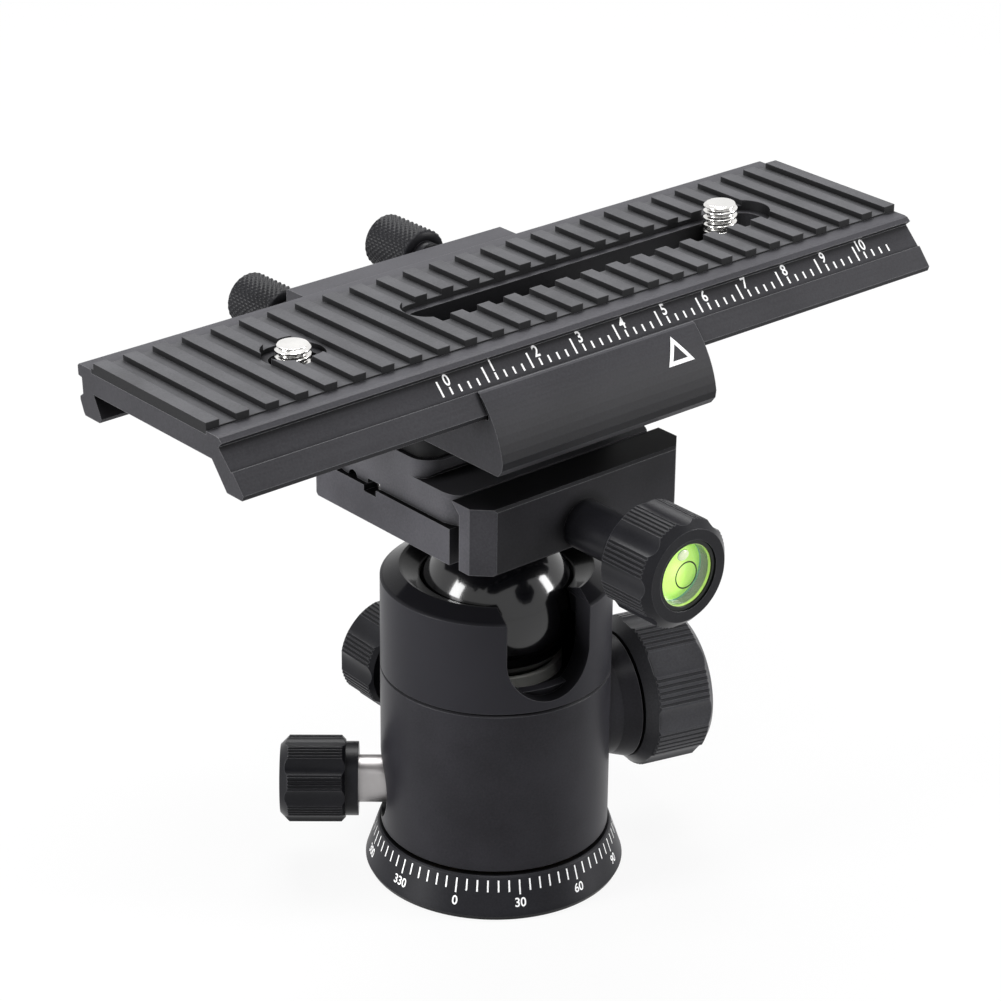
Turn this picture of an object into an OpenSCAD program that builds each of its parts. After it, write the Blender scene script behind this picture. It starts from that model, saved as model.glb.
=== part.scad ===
// Macro focusing rail on a ball head: a 160 mm rack-driven rail, its carriage, a quick-release
// plate and clamp, and a panning ball head with three lock knobs. Millimetres, +Z up.
// Origin: middle of the base's bottom face, at the mouth of the tripod thread.
// +X runs along the rail towards the high end of its scale, +Y to the drive knob's side.

/* [Base] */
// Radius of the base ring at its foot
base_foot_r = 24.2; // [23:0.5:27]
// Radius of the base ring at its upper edge
base_top_r = 21.9; // [21.6:0.1:22.8]
// Height of the base ring
base_h = 8; // [7:0.5:10]
// Radius of the tripod thread (3/8 inch, over the crests, with play)
tripod_r = 4.8; // [4.6:0.05:5.2]
// Depth of the tripod thread
tripod_depth = 9.5; // [8:0.5:11]
// Radius of the pan spindle
spindle_r = 7.5; // [7:0.25:8.5]
// Thickness of the thrust washer under the head
thrust_t = 0.4; // [0.3:0.1:0.8]

/* [Head] */
// Outer radius of the head's housing and collar
head_r = 21.3; // [20.5:0.1:21.4]
// Height of the seam between housing and collar
seam_z = 41; // [40:0.5:42]
// Height of the collar's outer edge
rim_edge_z = 59; // [58.5:0.5:60.5]
// Height of the bevel above that edge
rim_bevel_h = 2.1; // [1.5:0.1:2.6]
// Radius of the mouth at the top of the bevel
mouth_r = 17.3; // [16.8:0.1:18]
// Radius of the ball
ball_r = 14.7; // [14:0.1:15]
// Height of the ball's centre
ball_z = 53.6; // [53:0.2:54]
// Radius of the stem on the ball
stem_r = 6.5; // [5.5:0.25:7]
// From the ball's centre up to the clamp's underside
stem_reach = 19.8; // [19.8:0.2:22]
// Width of the drop notch in the collar
notch_w = 16.9; // [16:0.1:18]
// Height of the middle of the notch's round bottom
notch_z = 51.4; // [51:0.1:52.5]
// Direction of the drop notch, seen from above
notch_angle = -102; // [-110:1:-95]

/* [Lock knobs] */
// Direction of the main lock's axis
main_angle = -15; // [-25:1:-5]
// Height of the main lock's axis
main_z = 28.8; // [28.4:0.1:30.5]
// Radius of the main lock knob
main_knob_r = 14.4; // [13:0.1:15.5]
// Length of the main lock knob
main_knob_l = 13.7; // [11:0.1:16]
// Direction of the friction screw's axis
friction_angle = 87; // [80:1:95]
// Height of the friction screw's axis
friction_z = 29.4; // [28.5:0.1:30.5]
// Radius of the friction knob
friction_knob_r = 10.3; // [8.5:0.1:11]
// Length of the friction knob
friction_knob_l = 10.7; // [9:0.1:13]
// Direction of the pan lock's axis
pan_angle = 140; // [130:1:150]
// Height of the pan lock's axis
pan_z = 16.1; // [16:0.1:17]
// Radius of the pan lock knob
pan_knob_r = 8.1; // [7.6:0.1:9]
// Length of the pan lock knob
pan_knob_l = 12.2; // [10:0.1:14]
// Radius of the pan lock's steel shaft
pan_shaft_r = 4.45; // [3.5:0.05:5]

/* [Knob grips] */
// Number of wide scallops round each fluted knob
scallops = 8; // [6:1:10]
// Depth of a scallop
scallop_depth = 0.75; // [0.4:0.05:1]
// Fine grooves between two scallops
fine_grooves = 5; // [3:1:6]
// Radius of a fine groove
groove_r = 0.32; // [0.2:0.02:0.4]
// Chamfer at the ends of the fluted knobs
knob_chamfer = 1.4; // [0.8:0.1:2]

/* [Clamp] */
// Left end of the clamp
clamp_left = -23.2; // [-24:0.1:-22]
// Length of the clamp along the rail
clamp_len = 48.6; // [46:0.2:52]
// Front face of the moving jaw, from the head's axis
jaw_front_y = -23; // [-25:0.1:-22.4]
// Back face of the clamp, from the head's axis
clamp_back_y = 23.2; // [22.8:0.1:26]
// Height of the clamp and its jaws
clamp_h = 12.6; // [11.8:0.1:13.5]
// Thickness of the clamp's floor
floor_t = 6.9; // [6.6:0.1:7.4]
// Front face of the fixed part of the clamp
clamp_front_y = -14.3; // [-15:0.1:-13]
// Radius of the clamp screw
clamp_screw_r = 2; // [1.6:0.1:2.2]
// Radius of the clamp knob
clamp_knob_r = 10.1; // [9:0.1:12]
// Length of the clamp knob's grip
clamp_knob_l = 11.8; // [10:0.1:14]
// Length of the smooth hub behind the grip
clamp_hub_l = 15; // [10:0.1:17]
// Radius of that hub
clamp_hub_r = 4.5; // [4:0.1:6]
// Radius of the bubble level's window
level_r = 6.2; // [5:0.1:6.6]

/* [Quick-release plate] */
// Width of the dovetail at its widest
dovetail_w = 38; // [37.5:0.1:38.2]
// Length of the plate along the rail
plate_len = 46.4; // [42:0.2:50]
// Middle of the plate along the rail
plate_x = 0.9; // [0:0.1:1.4]
// Thickness of the plate
plate_t = 9.3; // [8.8:0.1:11]
// Middle of the plate across the clamp
plate_y = 2.2; // [2.1:0.1:2.3]
// Radius of the flange's corners in plan
plate_corner_r = 6; // [4:0.5:9]
// Front face of the plate's body, set back behind its flange
plate_body_front_y = -6.6; // [-9:0.1:-6]
// Radius of the body's corners in plan
plate_body_corner_r = 4.2; // [3:0.1:6]
// Height of the rubber pad above the plate
plate_pad_t = 3.6; // [0.8:0.1:4]

/* [Carriage] */
// Left end of the carriage
carriage_left = -21; // [-22:0.5:-20]
// Length of the carriage
carriage_len = 50; // [46:1:56]
// Height of the carriage's deck above its underside
carriage_deck_h = 9.6; // [9.5:0.1:11]
// Outer face of the front jaw
carriage_front_y = -25.6; // [-27:0.1:-25]
// Outer face of the back wall
carriage_back_y = 34; // [33:0.1:36]
// Thickness of the back wall
back_wall_t = 5.4; // [5:0.1:6.5]
// Height of the back wall above the deck
back_wall_h = 6.7; // [6.2:0.1:7.5]

/* [Rail] */
// Length of the rail
rail_len = 160; // [156:1:170]
// Left end of the rail
rail_left = -72.2; // [-76:0.2:-70]
// Front toe of the rail
rail_front_y = -21.5; // [-22:0.1:-21]
// Width of the rail over its toes
rail_w = 46.1; // [45.8:0.1:46.4]
// Height of the rail from its feet to its top face
rail_h = 9.1; // [8.8:0.1:9.6]
// Depth of the channel between the feet
channel_h = 4.7; // [4.5:0.1:4.9]
// Depth of the recess that holds the ribbed pad
pad_recess = 0.6; // [0.3:0.1:0.8]
// Thickness of the pad's sheet
pad_sheet_t = 0.9; // [0.8:0.1:1.2]
// Height of the pad's ribs above its sheet
rib_h = 1.1; // [0.6:0.1:1.5]
// Width of a rib
rib_w = 2.7; // [2:0.1:3.4]
// Number of ribs
rib_count = 27; // [20:1:32]
// Width of the windows in the pad
window_w = 9.6; // [8:0.2:11]
// Width of the screw slots in the rail
slot_w = 6.8; // [6.6:0.1:7.4]
// Left end of the long window, from the rail's left end
window_start = 54.5; // [50:0.5:60]
// Length of the long window
window_len = 86.5; // [70:0.5:90]

/* [Camera screws] */
// Radius of the camera screws (1/4 inch, major)
camera_r = 3.175; // [3:0.025:3.2]
// Distance of the screws' line from the head's axis
screw_y = 4.2; // [3.6:0.1:5]
// Left screw, from the rail's left end
left_screw_x = 29.9; // [27:0.1:33]
// Right screw, from the rail's left end
right_screw_x = 129.9; // [125:0.1:134]
// Radius of the screws' heads
screw_head_r = 5.5; // [4.5:0.1:6]
// Thickness of the screws' heads
screw_head_t = 2.6; // [2:0.1:2.8]
// Right screw's height above the ribs
right_proud = 2.8; // [2:0.1:6]
// Left screw's height above the ribs
left_proud = 0.8; // [0.5:0.1:4]

/* [Rack and pinion] */
// Tooth size
gear_module = 0.5; // [0.4:0.05:0.5]
// Teeth of the pinion
pinion_teeth = 16; // [16:1:17]
// Width of the pinion across its face
pinion_w = 4.4; // [3.5:0.1:4.8]
// Play between the teeth at the pitch line
backlash = 0.14; // [0.1:0.01:0.2]
// Width of the rack
rack_w = 5; // [4.6:0.1:5.4]
// Middle of the rack and pinion from the head's axis
rack_y = 15.1; // [14.9:0.1:15.4]
// Toothed length of the rack
rack_teeth_len = 107; // [100:1:110]
// Middle of the pinion from the carriage's left end
drive_x = 5.8; // [5.8:0.1:8]
// Radius of the pinion's shaft
drive_shaft_r = 1.75; // [1.4:0.05:1.9]
// Radius of the two knurled knobs
rail_knob_r = 5.2; // [4.5:0.1:6.5]
// Length of the two knurled knobs
rail_knob_l = 11.6; // [9:0.2:14]
// Lock screw from the carriage's left end
lock_x = 34.7; // [30:0.1:38]
// Lock screw's height above the deck
lock_up = 3.3; // [2.9:0.1:3.4]
// Radius of the lock screw
lock_screw_r = 2; // [1.5:0.1:2.2]

/* [Fits] */
// Play of a shaft or screw in its hole, on the radius
run_gap = 0.05; // [0.03:0.01:0.08]
// Gap between faces that slide on each other
slide_gap = 0.05; // [0.03:0.01:0.1]
// Gap round the ball
ball_gap = 0.25; // [0.15:0.05:0.35]
// Gap between pieces that are fixed together
seat_gap = 0.02; // [0.01:0.01:0.04]

/* [Hidden] */
$fn = 96;
eps = 0.01;

black_anodised = [0.11, 0.11, 0.12];
black_satin = [0.16, 0.16, 0.17];
black_gloss = [0.04, 0.04, 0.045];
steel = [0.74, 0.74, 0.76];
brass = [0.78, 0.64, 0.34];
nylon = [0.86, 0.86, 0.82];
rubber = [0.14, 0.14, 0.145];

// head, from the foot up
head_foot_z = base_h + thrust_t + slide_gap;
spindle_top_z = 20;
web_top_z = spindle_top_z - slide_gap;
nut_r = 9.5;
nut_t = 2.4;
nut_room_r = nut_r + 1;
cup_bore_r = 12.5;
cup_top_z = 43.6;
wedge_floor_z = main_z - 4.5;
spigot_r = 18.6;
spigot_wall = 1.9;
spigot_h = 3.2;
cavity_r = spigot_r - spigot_wall;
ring_top_z = rim_edge_z - 0.3;
ring_h = 3.6;
lip_r = ball_r - 0.6;
lip_h = 0.6;
rim_z = rim_edge_z + rim_bevel_h;
socket_r = ball_r + ball_gap;

// knobs on the head
main_boss_r = 10.9;
main_boss_end = head_r + 3.4;
main_boss_root = head_r - 4.8;
main_knob_start = main_boss_end + 0.6;
main_screw_r = 4;
wedge_r = 3.9;
wedge_slope = 6;
wedge_top = 3.5;
wedge_inner = -5.8;
wedge_outer = 6.5;
friction_boss_r = 5.4;
friction_boss_root = head_r - 3.8;
friction_boss_end = head_r + 3.6;
friction_knob_start = friction_boss_end + 0.9;
friction_screw_r = 2.5;
friction_pad_inner = wedge_r + 0.8;
friction_pad_l = 2.4;
pan_recess_r = 7.2;
pan_recess_depth = 1.5;
pan_collar_r = 6.95;
pan_collar_l = 2.4;
pan_collar_start = head_r + 4.1;
pan_knob_start = pan_collar_start + pan_collar_l;
pan_screw_r = 3;
pan_pad_l = 2.6;
pan_pad_inner = spindle_r + 0.3;

// clamp
clamp_z = ball_z + stem_reach;
floor_z = clamp_z + floor_t;
jaw_top_z = clamp_z + clamp_h;
clamp_right = clamp_left + clamp_len;
clamp_axis_z = clamp_z + 4.2;
jaw_chamfer = 3.4;
flange_edge_h = 3.6;
flange_foot = 0.55;
dovetail_half = dovetail_w / 2;
flange_slope = clamp_h - floor_t - flange_edge_h + 0.1;
ledge_half = dovetail_half - flange_slope;
ledge_h = flange_edge_h + flange_slope;
jaw_tip_half = dovetail_half - (clamp_h - floor_t - flange_edge_h) + 0.1;
clamp_knob_y = jaw_front_y - slide_gap;
grip_start_y = clamp_knob_y - clamp_hub_l;
grip_end_y = grip_start_y - clamp_knob_l;
level_depth = 7;
guide_pin_r = 1.75;
guide_pin_x = 14;
guide_pin_inner_y = -5;
guide_pin_outer_y = jaw_front_y + 2.4;
spring_x = 8.6;
spring_r = 1.7;
spring_bore_r = 1.1;
spring_inner_y = -8;
bolt_r = 2.5;
bolt_head_r = 4.4;
bolt_head_h = 3;
bolt_depth = 9;
stop_pin_y = 7.7;
stop_pin_r = 1.3;
stop_pin_h = 0.8;
floor_groove_depth = 1.2;

// plate
plate_top_z = floor_z + plate_t;
stop_groove_w = 3.4;
stop_groove_h = 1;
stop_screw_x = plate_len / 2 - 2.6;
stop_screw_r = 1.5;
round_groove_r = 1.2;
plate_screw_y = -0.8;
plate_screw_r = 3.175;
plate_screw_head_r = 5.6;
plate_screw_head_h = 3.2;
pad_inset = 1.1;
pad_sink = 0.5;
body_back_y = plate_y + ledge_half;
body_undercut = 1.3;

// carriage
carriage_z = plate_top_z + plate_pad_t;
deck_z = carriage_z + carriage_deck_h - slide_gap;
rail_z = deck_z + slide_gap;
carriage_right = carriage_left + carriage_len;
wall_inner_y = carriage_back_y - back_wall_t;
gib_len = carriage_len - 5;
gib_travel = 0.5;
lock_z = deck_z + lock_up;
lock_axis_x = carriage_left + lock_x;

// rail
rail_back_y = rail_front_y + rail_w;
rail_top_z = rail_z + rail_h;
rail_right = rail_left + rail_len;
pad_front_y = rail_front_y + 9.7;
pad_back_y = rail_back_y - 4;
pad_floor_z = rail_top_z - pad_recess;
sheet_top_z = pad_floor_z + pad_sheet_t;
ribs_top_z = sheet_top_z + rib_h;
rib_pitch = (rail_len - rib_w) / (rib_count - 1);
rib_back_y = pad_back_y - 0.7;
short_window_len = 11.8;
short_slot_len = 9;

// rack and pinion
rack_pitch = PI * gear_module;
pitch_r = gear_module * pinion_teeth / 2;
drive_axis_x = carriage_left + drive_x;
drive_z = deck_z - 2.55;
pitch_line_z = drive_z + pitch_r;
rack_tip_z = pitch_line_z - gear_module;
rack_root_z = pitch_line_z + 1.25 * gear_module;
rack_back_z = rail_z + channel_h;
rack_screw_r = 1.05;
rack_screw_head_r = 1.9;
rack_screw_head_h = 1.2;
rack_screw_gap = 0.05;
rack_plain_end = 2.4;
travel_right = 46;
rack_lead = 3.5;
rack_start_x = drive_axis_x - travel_right - rack_lead;
pinion_room = 0.3;
bushing_r = 3.4;
bushing_l = 4;
shaft_seat = 8;
drive_knob_y = 41.7;
lock_knob_y = 37.4;

// camera screws
camera_neck_r = camera_r - 0.7;

// ---------- helpers ----------

// local Z along a horizontal ray from the head's axis
module radial(angle, height) {
    rotate([0, 0, angle]) translate([0, 0, height]) rotate([0, 90, 0]) children();
}

// local Z towards the back, through a point of the XZ plane
module backward(x, z) {
    translate([x, 0, z]) rotate([-90, 0, 0]) children();
}

// local Z towards the front, through a point of the XZ plane
module forward(x, z) {
    translate([x, 0, z]) rotate([90, 0, 0]) children();
}

// a straight pin or bore from one distance to another along local Z
module rod(r, from, to) {
    translate([0, 0, from]) cylinder(r = r, h = to - from);
}

// a hollow ring from one height to another
module ring(r_out, r_in, from, to) {
    translate([0, 0, from]) difference() {
        cylinder(r = r_out, h = to - from);
        translate([0, 0, -eps]) cylinder(r = r_in, h = to - from + 2 * eps);
    }
}

// a slot with round ends, lying along X
module oblong(length, width) {
    straight = length - width;
    square([straight, width], center = true);
    for (side = [-1, 1]) translate([side * straight / 2, 0]) circle(width / 2);
}

// a rectangle with rounded corners
module rounded_plan(length, width, r) {
    square([length - 2 * r, width], center = true);
    square([length, width - 2 * r], center = true);
    for (sx = [-1, 1], sy = [-1, 1]) translate([sx * (length / 2 - r), sy * (width / 2 - r)]) circle(r);
}

// an outline in the YZ plane, extruded along X between two places
module along_rail(from, to) {
    translate([from, 0, 0]) rotate([90, 0, 90]) linear_extrude(to - from) children();
}

// points on a quadratic curve from a to c, pulled towards b
function curve(a, b, c, steps) = [for (i = [0:steps])
    let (t = i / steps) (1 - t) * (1 - t) * a + 2 * t * (1 - t) * b + t * t * c];

// cross-section of a fluted grip: wide scallops with fine grooves between them
module fluted_outline(r) {
    step = 360 / scallops;
    scallop_r = r * 0.42;
    groove_step = step * 0.105;
    difference() {
        circle(r);
        for (i = [0:scallops - 1]) rotate(step * i) {
            translate([r + scallop_r - scallop_depth, 0]) circle(scallop_r);
            for (g = [0:fine_grooves - 1])
                rotate(step / 2 + groove_step * (g - (fine_grooves - 1) / 2))
                    translate([r + groove_r * 0.25, 0]) circle(groove_r, $fn = 16);
        }
    }
}

// a fluted grip standing on local Z = 0, chamfered at both ends
module fluted_grip(r, length, front_chamfer, back_chamfer) {
    intersection() {
        linear_extrude(length) fluted_outline(r);
        rotate_extrude() polygon([[0, 0], [r - back_chamfer, 0], [r + eps, back_chamfer],
            [r + eps, length - front_chamfer], [r - front_chamfer, length], [0, length]]);
    }
}

// a turned grip for a fine diamond knurl
module knurled_grip(r, length) {
    chamfer = 0.5;
    rotate_extrude() polygon([[0, 0], [r - chamfer, 0], [r, chamfer], [r, length - chamfer],
        [r - chamfer, length], [0, length]]);
}

// ---------- base ----------

module base_ring() {
    foot_edge = 0.8;
    relief_r = 19;
    relief_h = 0.6;
    color(black_anodised) rotate_extrude() polygon([[spindle_r + seat_gap, relief_h], [relief_r, relief_h],
        [relief_r + relief_h, 0], [base_foot_r - foot_edge / 2, 0], [base_foot_r, foot_edge],
        [base_top_r, base_h - 0.3], [base_top_r - 0.3, base_h], [spindle_r + seat_gap, base_h]]);
}

module pan_spindle() {
    groove_depth = 0.5;
    groove_h = 6.4;
    bolt_hole_r = 2.5;
    color(steel) difference() {
        rod(spindle_r, 0, spindle_top_z);
        translate([0, 0, -eps]) cylinder(r = tripod_r, h = tripod_depth + eps);
        ring(spindle_r + 1, spindle_r - groove_depth, pan_z - groove_h / 2, pan_z + groove_h / 2);
        rod(bolt_hole_r, spindle_top_z - 7, spindle_top_z + eps);
    }
}

module thrust_washer() {
    color(brass) ring(base_top_r - 2.5, spindle_r + 0.4, base_h, base_h + thrust_t);
}

module spindle_nut() {
    hex_r = 3.4;
    color(steel) difference() {
        union() {
            rod(nut_r, spindle_top_z, spindle_top_z + nut_t);
            rod(2.5 - seat_gap, spindle_top_z - 6.5, spindle_top_z + eps);
        }
        translate([0, 0, spindle_top_z + 0.9]) cylinder(r = hex_r, h = nut_t, $fn = 6);
    }
}

// ---------- head ----------

module housing() {
    edge = 0.35;
    color(black_anodised) difference() {
        union() {
            rotate_extrude() polygon([[spindle_r + run_gap, head_foot_z], [head_r - edge, head_foot_z],
                [head_r, head_foot_z + edge], [head_r, seam_z - edge], [head_r - edge, seam_z],
                [spindle_r + run_gap, seam_z]]);
            rod(spigot_r, seam_z - eps, seam_z + spigot_h);
        }
        rod(nut_room_r, web_top_z, wedge_floor_z + eps);
        rod(cup_bore_r, wedge_floor_z, seam_z + spigot_h + eps);
        rod(cavity_r, seam_z + 0.6, seam_z + spigot_h + eps);
        translate([0, 0, ball_z]) sphere(socket_r + 0.4);
        radial(main_angle, main_z) rod(main_boss_r + seat_gap, main_boss_root, head_r + 1);
        radial(main_angle, main_z) rod(main_screw_r + 0.4, cup_bore_r - 2, head_r);
        radial(friction_angle, friction_z) rod(friction_boss_r + seat_gap, friction_boss_root, head_r + 1);
        radial(friction_angle, friction_z) rod(friction_screw_r + run_gap, cup_bore_r - 2, head_r);
        radial(pan_angle, pan_z) rod(pan_recess_r, head_r - pan_recess_depth, head_r + 1);
        radial(pan_angle, pan_z) rod(pan_shaft_r + run_gap, pan_pad_inner + pan_pad_l + 3, head_r);
        radial(pan_angle, pan_z) rod(pan_screw_r + run_gap, spindle_r - 1, head_r);
    }
}

module collar() {
    edge = 0.35;
    color(black_anodised) difference() {
        rotate_extrude() polygon([[spigot_r + seat_gap, seam_z + 0.12], [head_r - edge, seam_z + 0.12],
            [head_r, seam_z + edge], [head_r, rim_edge_z], [head_r - 0.3, rim_edge_z + 0.3],
            [mouth_r + 0.5, rim_z], [mouth_r, rim_z - 0.2], [lip_r, ring_top_z + lip_h],
            [lip_r, ring_top_z], [cavity_r, ring_top_z], [cavity_r, seam_z + spigot_h + seat_gap],
            [spigot_r + seat_gap, seam_z + spigot_h + seat_gap]]);
        drop_notch(notch_w);
    }
}

// the round-bottomed opening that lets the stem drop to the side
module drop_notch(width) {
    radial(notch_angle, notch_z) {
        rod(width / 2, 5, head_r + 2);
        translate([-20, -width / 2, 5]) cube([20, width, head_r - 3]);
    }
}

module socket_ring() {
    color(black_satin) difference() {
        ring(cavity_r - seat_gap, ball_r - 2.6, ring_top_z - ring_h, ring_top_z - seat_gap);
        translate([0, 0, ball_z]) sphere(socket_r);
        drop_notch(notch_w + 0.6);
    }
}

module main_boss() {
    color(black_satin) difference() {
        radial(main_angle, main_z) {
            rod(main_boss_r, main_boss_root, head_r);
            translate([0, 0, head_r]) cylinder(r1 = main_boss_r, r2 = main_boss_r + 1.2, h = main_boss_end - head_r);
        }
        radial(main_angle, main_z) rod(main_screw_r + run_gap, main_boss_root - 1, main_boss_end + 1);
        translate([0, 0, main_z - 20]) cylinder(r = cup_bore_r + 0.5, h = 40);
    }
}

module friction_boss() {
    color(black_satin) radial(friction_angle, friction_z) difference() {
        rod(friction_boss_r, friction_boss_root, friction_boss_end);
        rod(friction_screw_r + run_gap, friction_boss_root - 1, friction_boss_end + 1);
    }
}

// everything below the wedge's sloping top, raised by a gap
module below_slope(gap) {
    rotate([0, 0, main_angle]) translate([0, 0, main_z + wedge_top + gap]) rotate([0, -wedge_slope, 0])
        translate([-20, -20, -30]) cube([40, 40, 30]);
}

module ball_cup() {
    color(nylon) difference() {
        rod(cup_bore_r - 0.3, main_z, cup_top_z);
        below_slope(slide_gap);
        translate([0, 0, ball_z]) sphere(socket_r);
        translate([0, 0, ball_z - 20]) cylinder(r = 3, h = 10);
    }
}

module ball() {
    collar_r = 8;
    collar_z = ball_z + 12.2;
    color(black_gloss) difference() {
        union() {
            translate([0, 0, ball_z]) sphere(ball_r);
            translate([0, 0, collar_z]) cylinder(r1 = collar_r, r2 = stem_r, h = 2.4);
            rod(stem_r, ball_z, clamp_z - slide_gap);
        }
        rod(bolt_r + run_gap, clamp_z - bolt_depth - 1, clamp_z + 1);
    }
}

// ---------- locks on the head ----------

module main_wedge() {
    color(brass) intersection() {
        radial(main_angle, main_z) rod(wedge_r, wedge_inner, wedge_outer);
        below_slope(0);
    }
}

module main_lock_screw() {
    color(steel) radial(main_angle, main_z) rod(main_screw_r, wedge_outer + slide_gap, main_knob_start + 6);
}

module main_lock_knob() {
    back_bevel = 1.9;
    cap_sink = 1;
    color(black_anodised) radial(main_angle, main_z) translate([0, 0, main_knob_start]) difference() {
        union() {
            translate([0, 0, back_bevel]) fluted_grip(main_knob_r, main_knob_l - back_bevel, knob_chamfer, 0.3);
            cylinder(r1 = main_knob_r - back_bevel - 0.3, r2 = main_knob_r - 0.35, h = back_bevel + eps);
        }
        translate([0, 0, -eps]) cylinder(r = main_screw_r + seat_gap, h = 6 + eps);
        translate([0, 0, main_knob_l - cap_sink]) cylinder(r = main_knob_r * 0.66, h = cap_sink + 1);
    }
}

module main_knob_cap() {
    color(black_satin) radial(main_angle, main_z) translate([0, 0, main_knob_start + main_knob_l - 1])
        cylinder(r = main_knob_r * 0.66 - seat_gap, h = 0.7);
}

module friction_pad() {
    color(nylon) radial(friction_angle, friction_z)
        rod(friction_screw_r - 0.02, friction_pad_inner, friction_pad_inner + friction_pad_l);
}

module friction_screw() {
    color(steel) radial(friction_angle, friction_z)
        rod(friction_screw_r, friction_pad_inner + friction_pad_l, friction_knob_start + 5);
}

module friction_knob() {
    color(black_anodised) radial(friction_angle, friction_z) translate([0, 0, friction_knob_start]) difference() {
        fluted_grip(friction_knob_r, friction_knob_l, knob_chamfer, 1);
        translate([0, 0, -eps]) cylinder(r = friction_screw_r + seat_gap, h = 5 + eps);
        translate([0, 0, friction_knob_l - 0.6]) cylinder(r = friction_knob_r * 0.6, h = 1);
    }
}

module pan_pad() {
    color(nylon) radial(pan_angle, pan_z) rod(pan_screw_r - 0.02, pan_pad_inner, pan_pad_inner + pan_pad_l);
}

module pan_lock_shaft() {
    thread_end = pan_pad_inner + pan_pad_l + 4.6;
    color(steel) radial(pan_angle, pan_z) {
        rod(pan_screw_r, pan_pad_inner + pan_pad_l, thread_end);
        rod(pan_shaft_r, thread_end - eps, pan_knob_start + 5);
    }
}

module pan_lock_knob() {
    color(black_anodised) radial(pan_angle, pan_z) difference() {
        union() {
            rod(pan_collar_r, pan_collar_start, pan_knob_start + eps);
            translate([0, 0, pan_knob_start]) fluted_grip(pan_knob_r, pan_knob_l, knob_chamfer + 0.3, 0.8);
        }
        rod(pan_shaft_r + seat_gap, pan_collar_start - 1, pan_knob_start + 5);
        rod(pan_knob_r * 0.55, pan_knob_start + pan_knob_l - 0.5, pan_knob_start + pan_knob_l + 1);
    }
}

// ---------- clamp ----------

// the dovetail room between the jaws, in the YZ plane about the plate's middle
module dovetail_room(side) {
    gap = 0.07;
    polygon([[-side, floor_t], [side * (dovetail_half + gap), floor_t],
        [side * (dovetail_half + gap), floor_t + flange_edge_h],
        [side * jaw_tip_half, clamp_h], [side * jaw_tip_half, clamp_h + 1], [-side, clamp_h + 1]]);
}

module clamp_base() {
    edge = 0.5;
    color(black_satin) difference() {
        along_rail(clamp_left, clamp_right) difference() {
            polygon([[clamp_front_y, clamp_z], [clamp_back_y - edge, clamp_z], [clamp_back_y, clamp_z + edge],
                [clamp_back_y, jaw_top_z - edge], [clamp_back_y - edge, jaw_top_z],
                [plate_y, jaw_top_z], [plate_y, floor_z], [clamp_front_y, floor_z]]);
            translate([plate_y, clamp_z]) dovetail_room(1);
        }
        rod(bolt_r + seat_gap, clamp_z - 1, floor_z);
        rod(bolt_head_r + 0.1, floor_z - bolt_head_h - 0.6, floor_z + 1);
        forward(0, clamp_axis_z) rod(clamp_screw_r + run_gap, 6, 20);
        for (side = [-1, 1]) {
            forward(side * guide_pin_x, clamp_axis_z) rod(guide_pin_r + seat_gap, -guide_pin_inner_y, 20);
            forward(side * spring_x, clamp_axis_z) rod(spring_r + 0.2, -spring_inner_y, 20);
        }
        translate([0, stop_pin_y, floor_z - 4]) cylinder(r = stop_pin_r + seat_gap, h = 5);
        // groove in the floor for the plate's stop screws
        translate([clamp_left - 1, stop_pin_y - stop_groove_w / 2, floor_z - floor_groove_depth])
            cube([clamp_len + 2, stop_groove_w, floor_groove_depth + 1]);
    }
}

module clamp_bolt() {
    hex_r = 2.3;
    top = floor_z - 0.6;
    color(steel) difference() {
        union() {
            rod(bolt_r, clamp_z - bolt_depth, top - bolt_head_h + eps);
            rod(bolt_head_r, top - bolt_head_h, top);
        }
        translate([0, 0, top - 1.8]) cylinder(r = hex_r, h = 2, $fn = 6);
    }
}

module clamp_guide_pins() {
    color(steel) for (side = [-1, 1])
        forward(side * guide_pin_x, clamp_axis_z) rod(guide_pin_r, -guide_pin_inner_y, -guide_pin_outer_y);
}

module clamp_springs() {
    color(steel) for (side = [-1, 1]) forward(side * spring_x, clamp_axis_z)
        ring(spring_r, spring_bore_r, -spring_inner_y, dovetail_half - plate_y - 0.05);
}

module plate_stop_pin() {
    color(steel) translate([0, stop_pin_y, 0]) rod(stop_pin_r, floor_z - 4, floor_z + stop_pin_h);
}

module clamp_jaw() {
    gap = 0.07;
    inner = plate_y - dovetail_half - gap;
    tip = plate_y - jaw_tip_half;
    edge = 0.45;
    color(black_satin) difference() {
        intersection() {
            along_rail(clamp_left, clamp_right) polygon([[jaw_front_y + edge, clamp_z], [inner, clamp_z],
                [inner, floor_z + flange_edge_h], [tip, jaw_top_z],
                [jaw_front_y + edge, jaw_top_z], [jaw_front_y, jaw_top_z - edge], [jaw_front_y, clamp_z + edge]]);
            linear_extrude(jaw_top_z + 1) polygon([[clamp_left, 0], [clamp_left, jaw_front_y + jaw_chamfer],
                [clamp_left + jaw_chamfer, jaw_front_y], [clamp_right - jaw_chamfer, jaw_front_y],
                [clamp_right, jaw_front_y + jaw_chamfer], [clamp_right, 0]]);
        }
        forward(0, clamp_axis_z) rod(clamp_screw_r + run_gap, 10, 30);
        for (side = [-1, 1]) forward(side * guide_pin_x, clamp_axis_z)
            rod(guide_pin_r + run_gap, 10, -guide_pin_outer_y + slide_gap);
    }
}

module clamp_screw() {
    color(steel) forward(0, clamp_axis_z) rod(clamp_screw_r, 8.6, -grip_start_y + 2);
}

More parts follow.
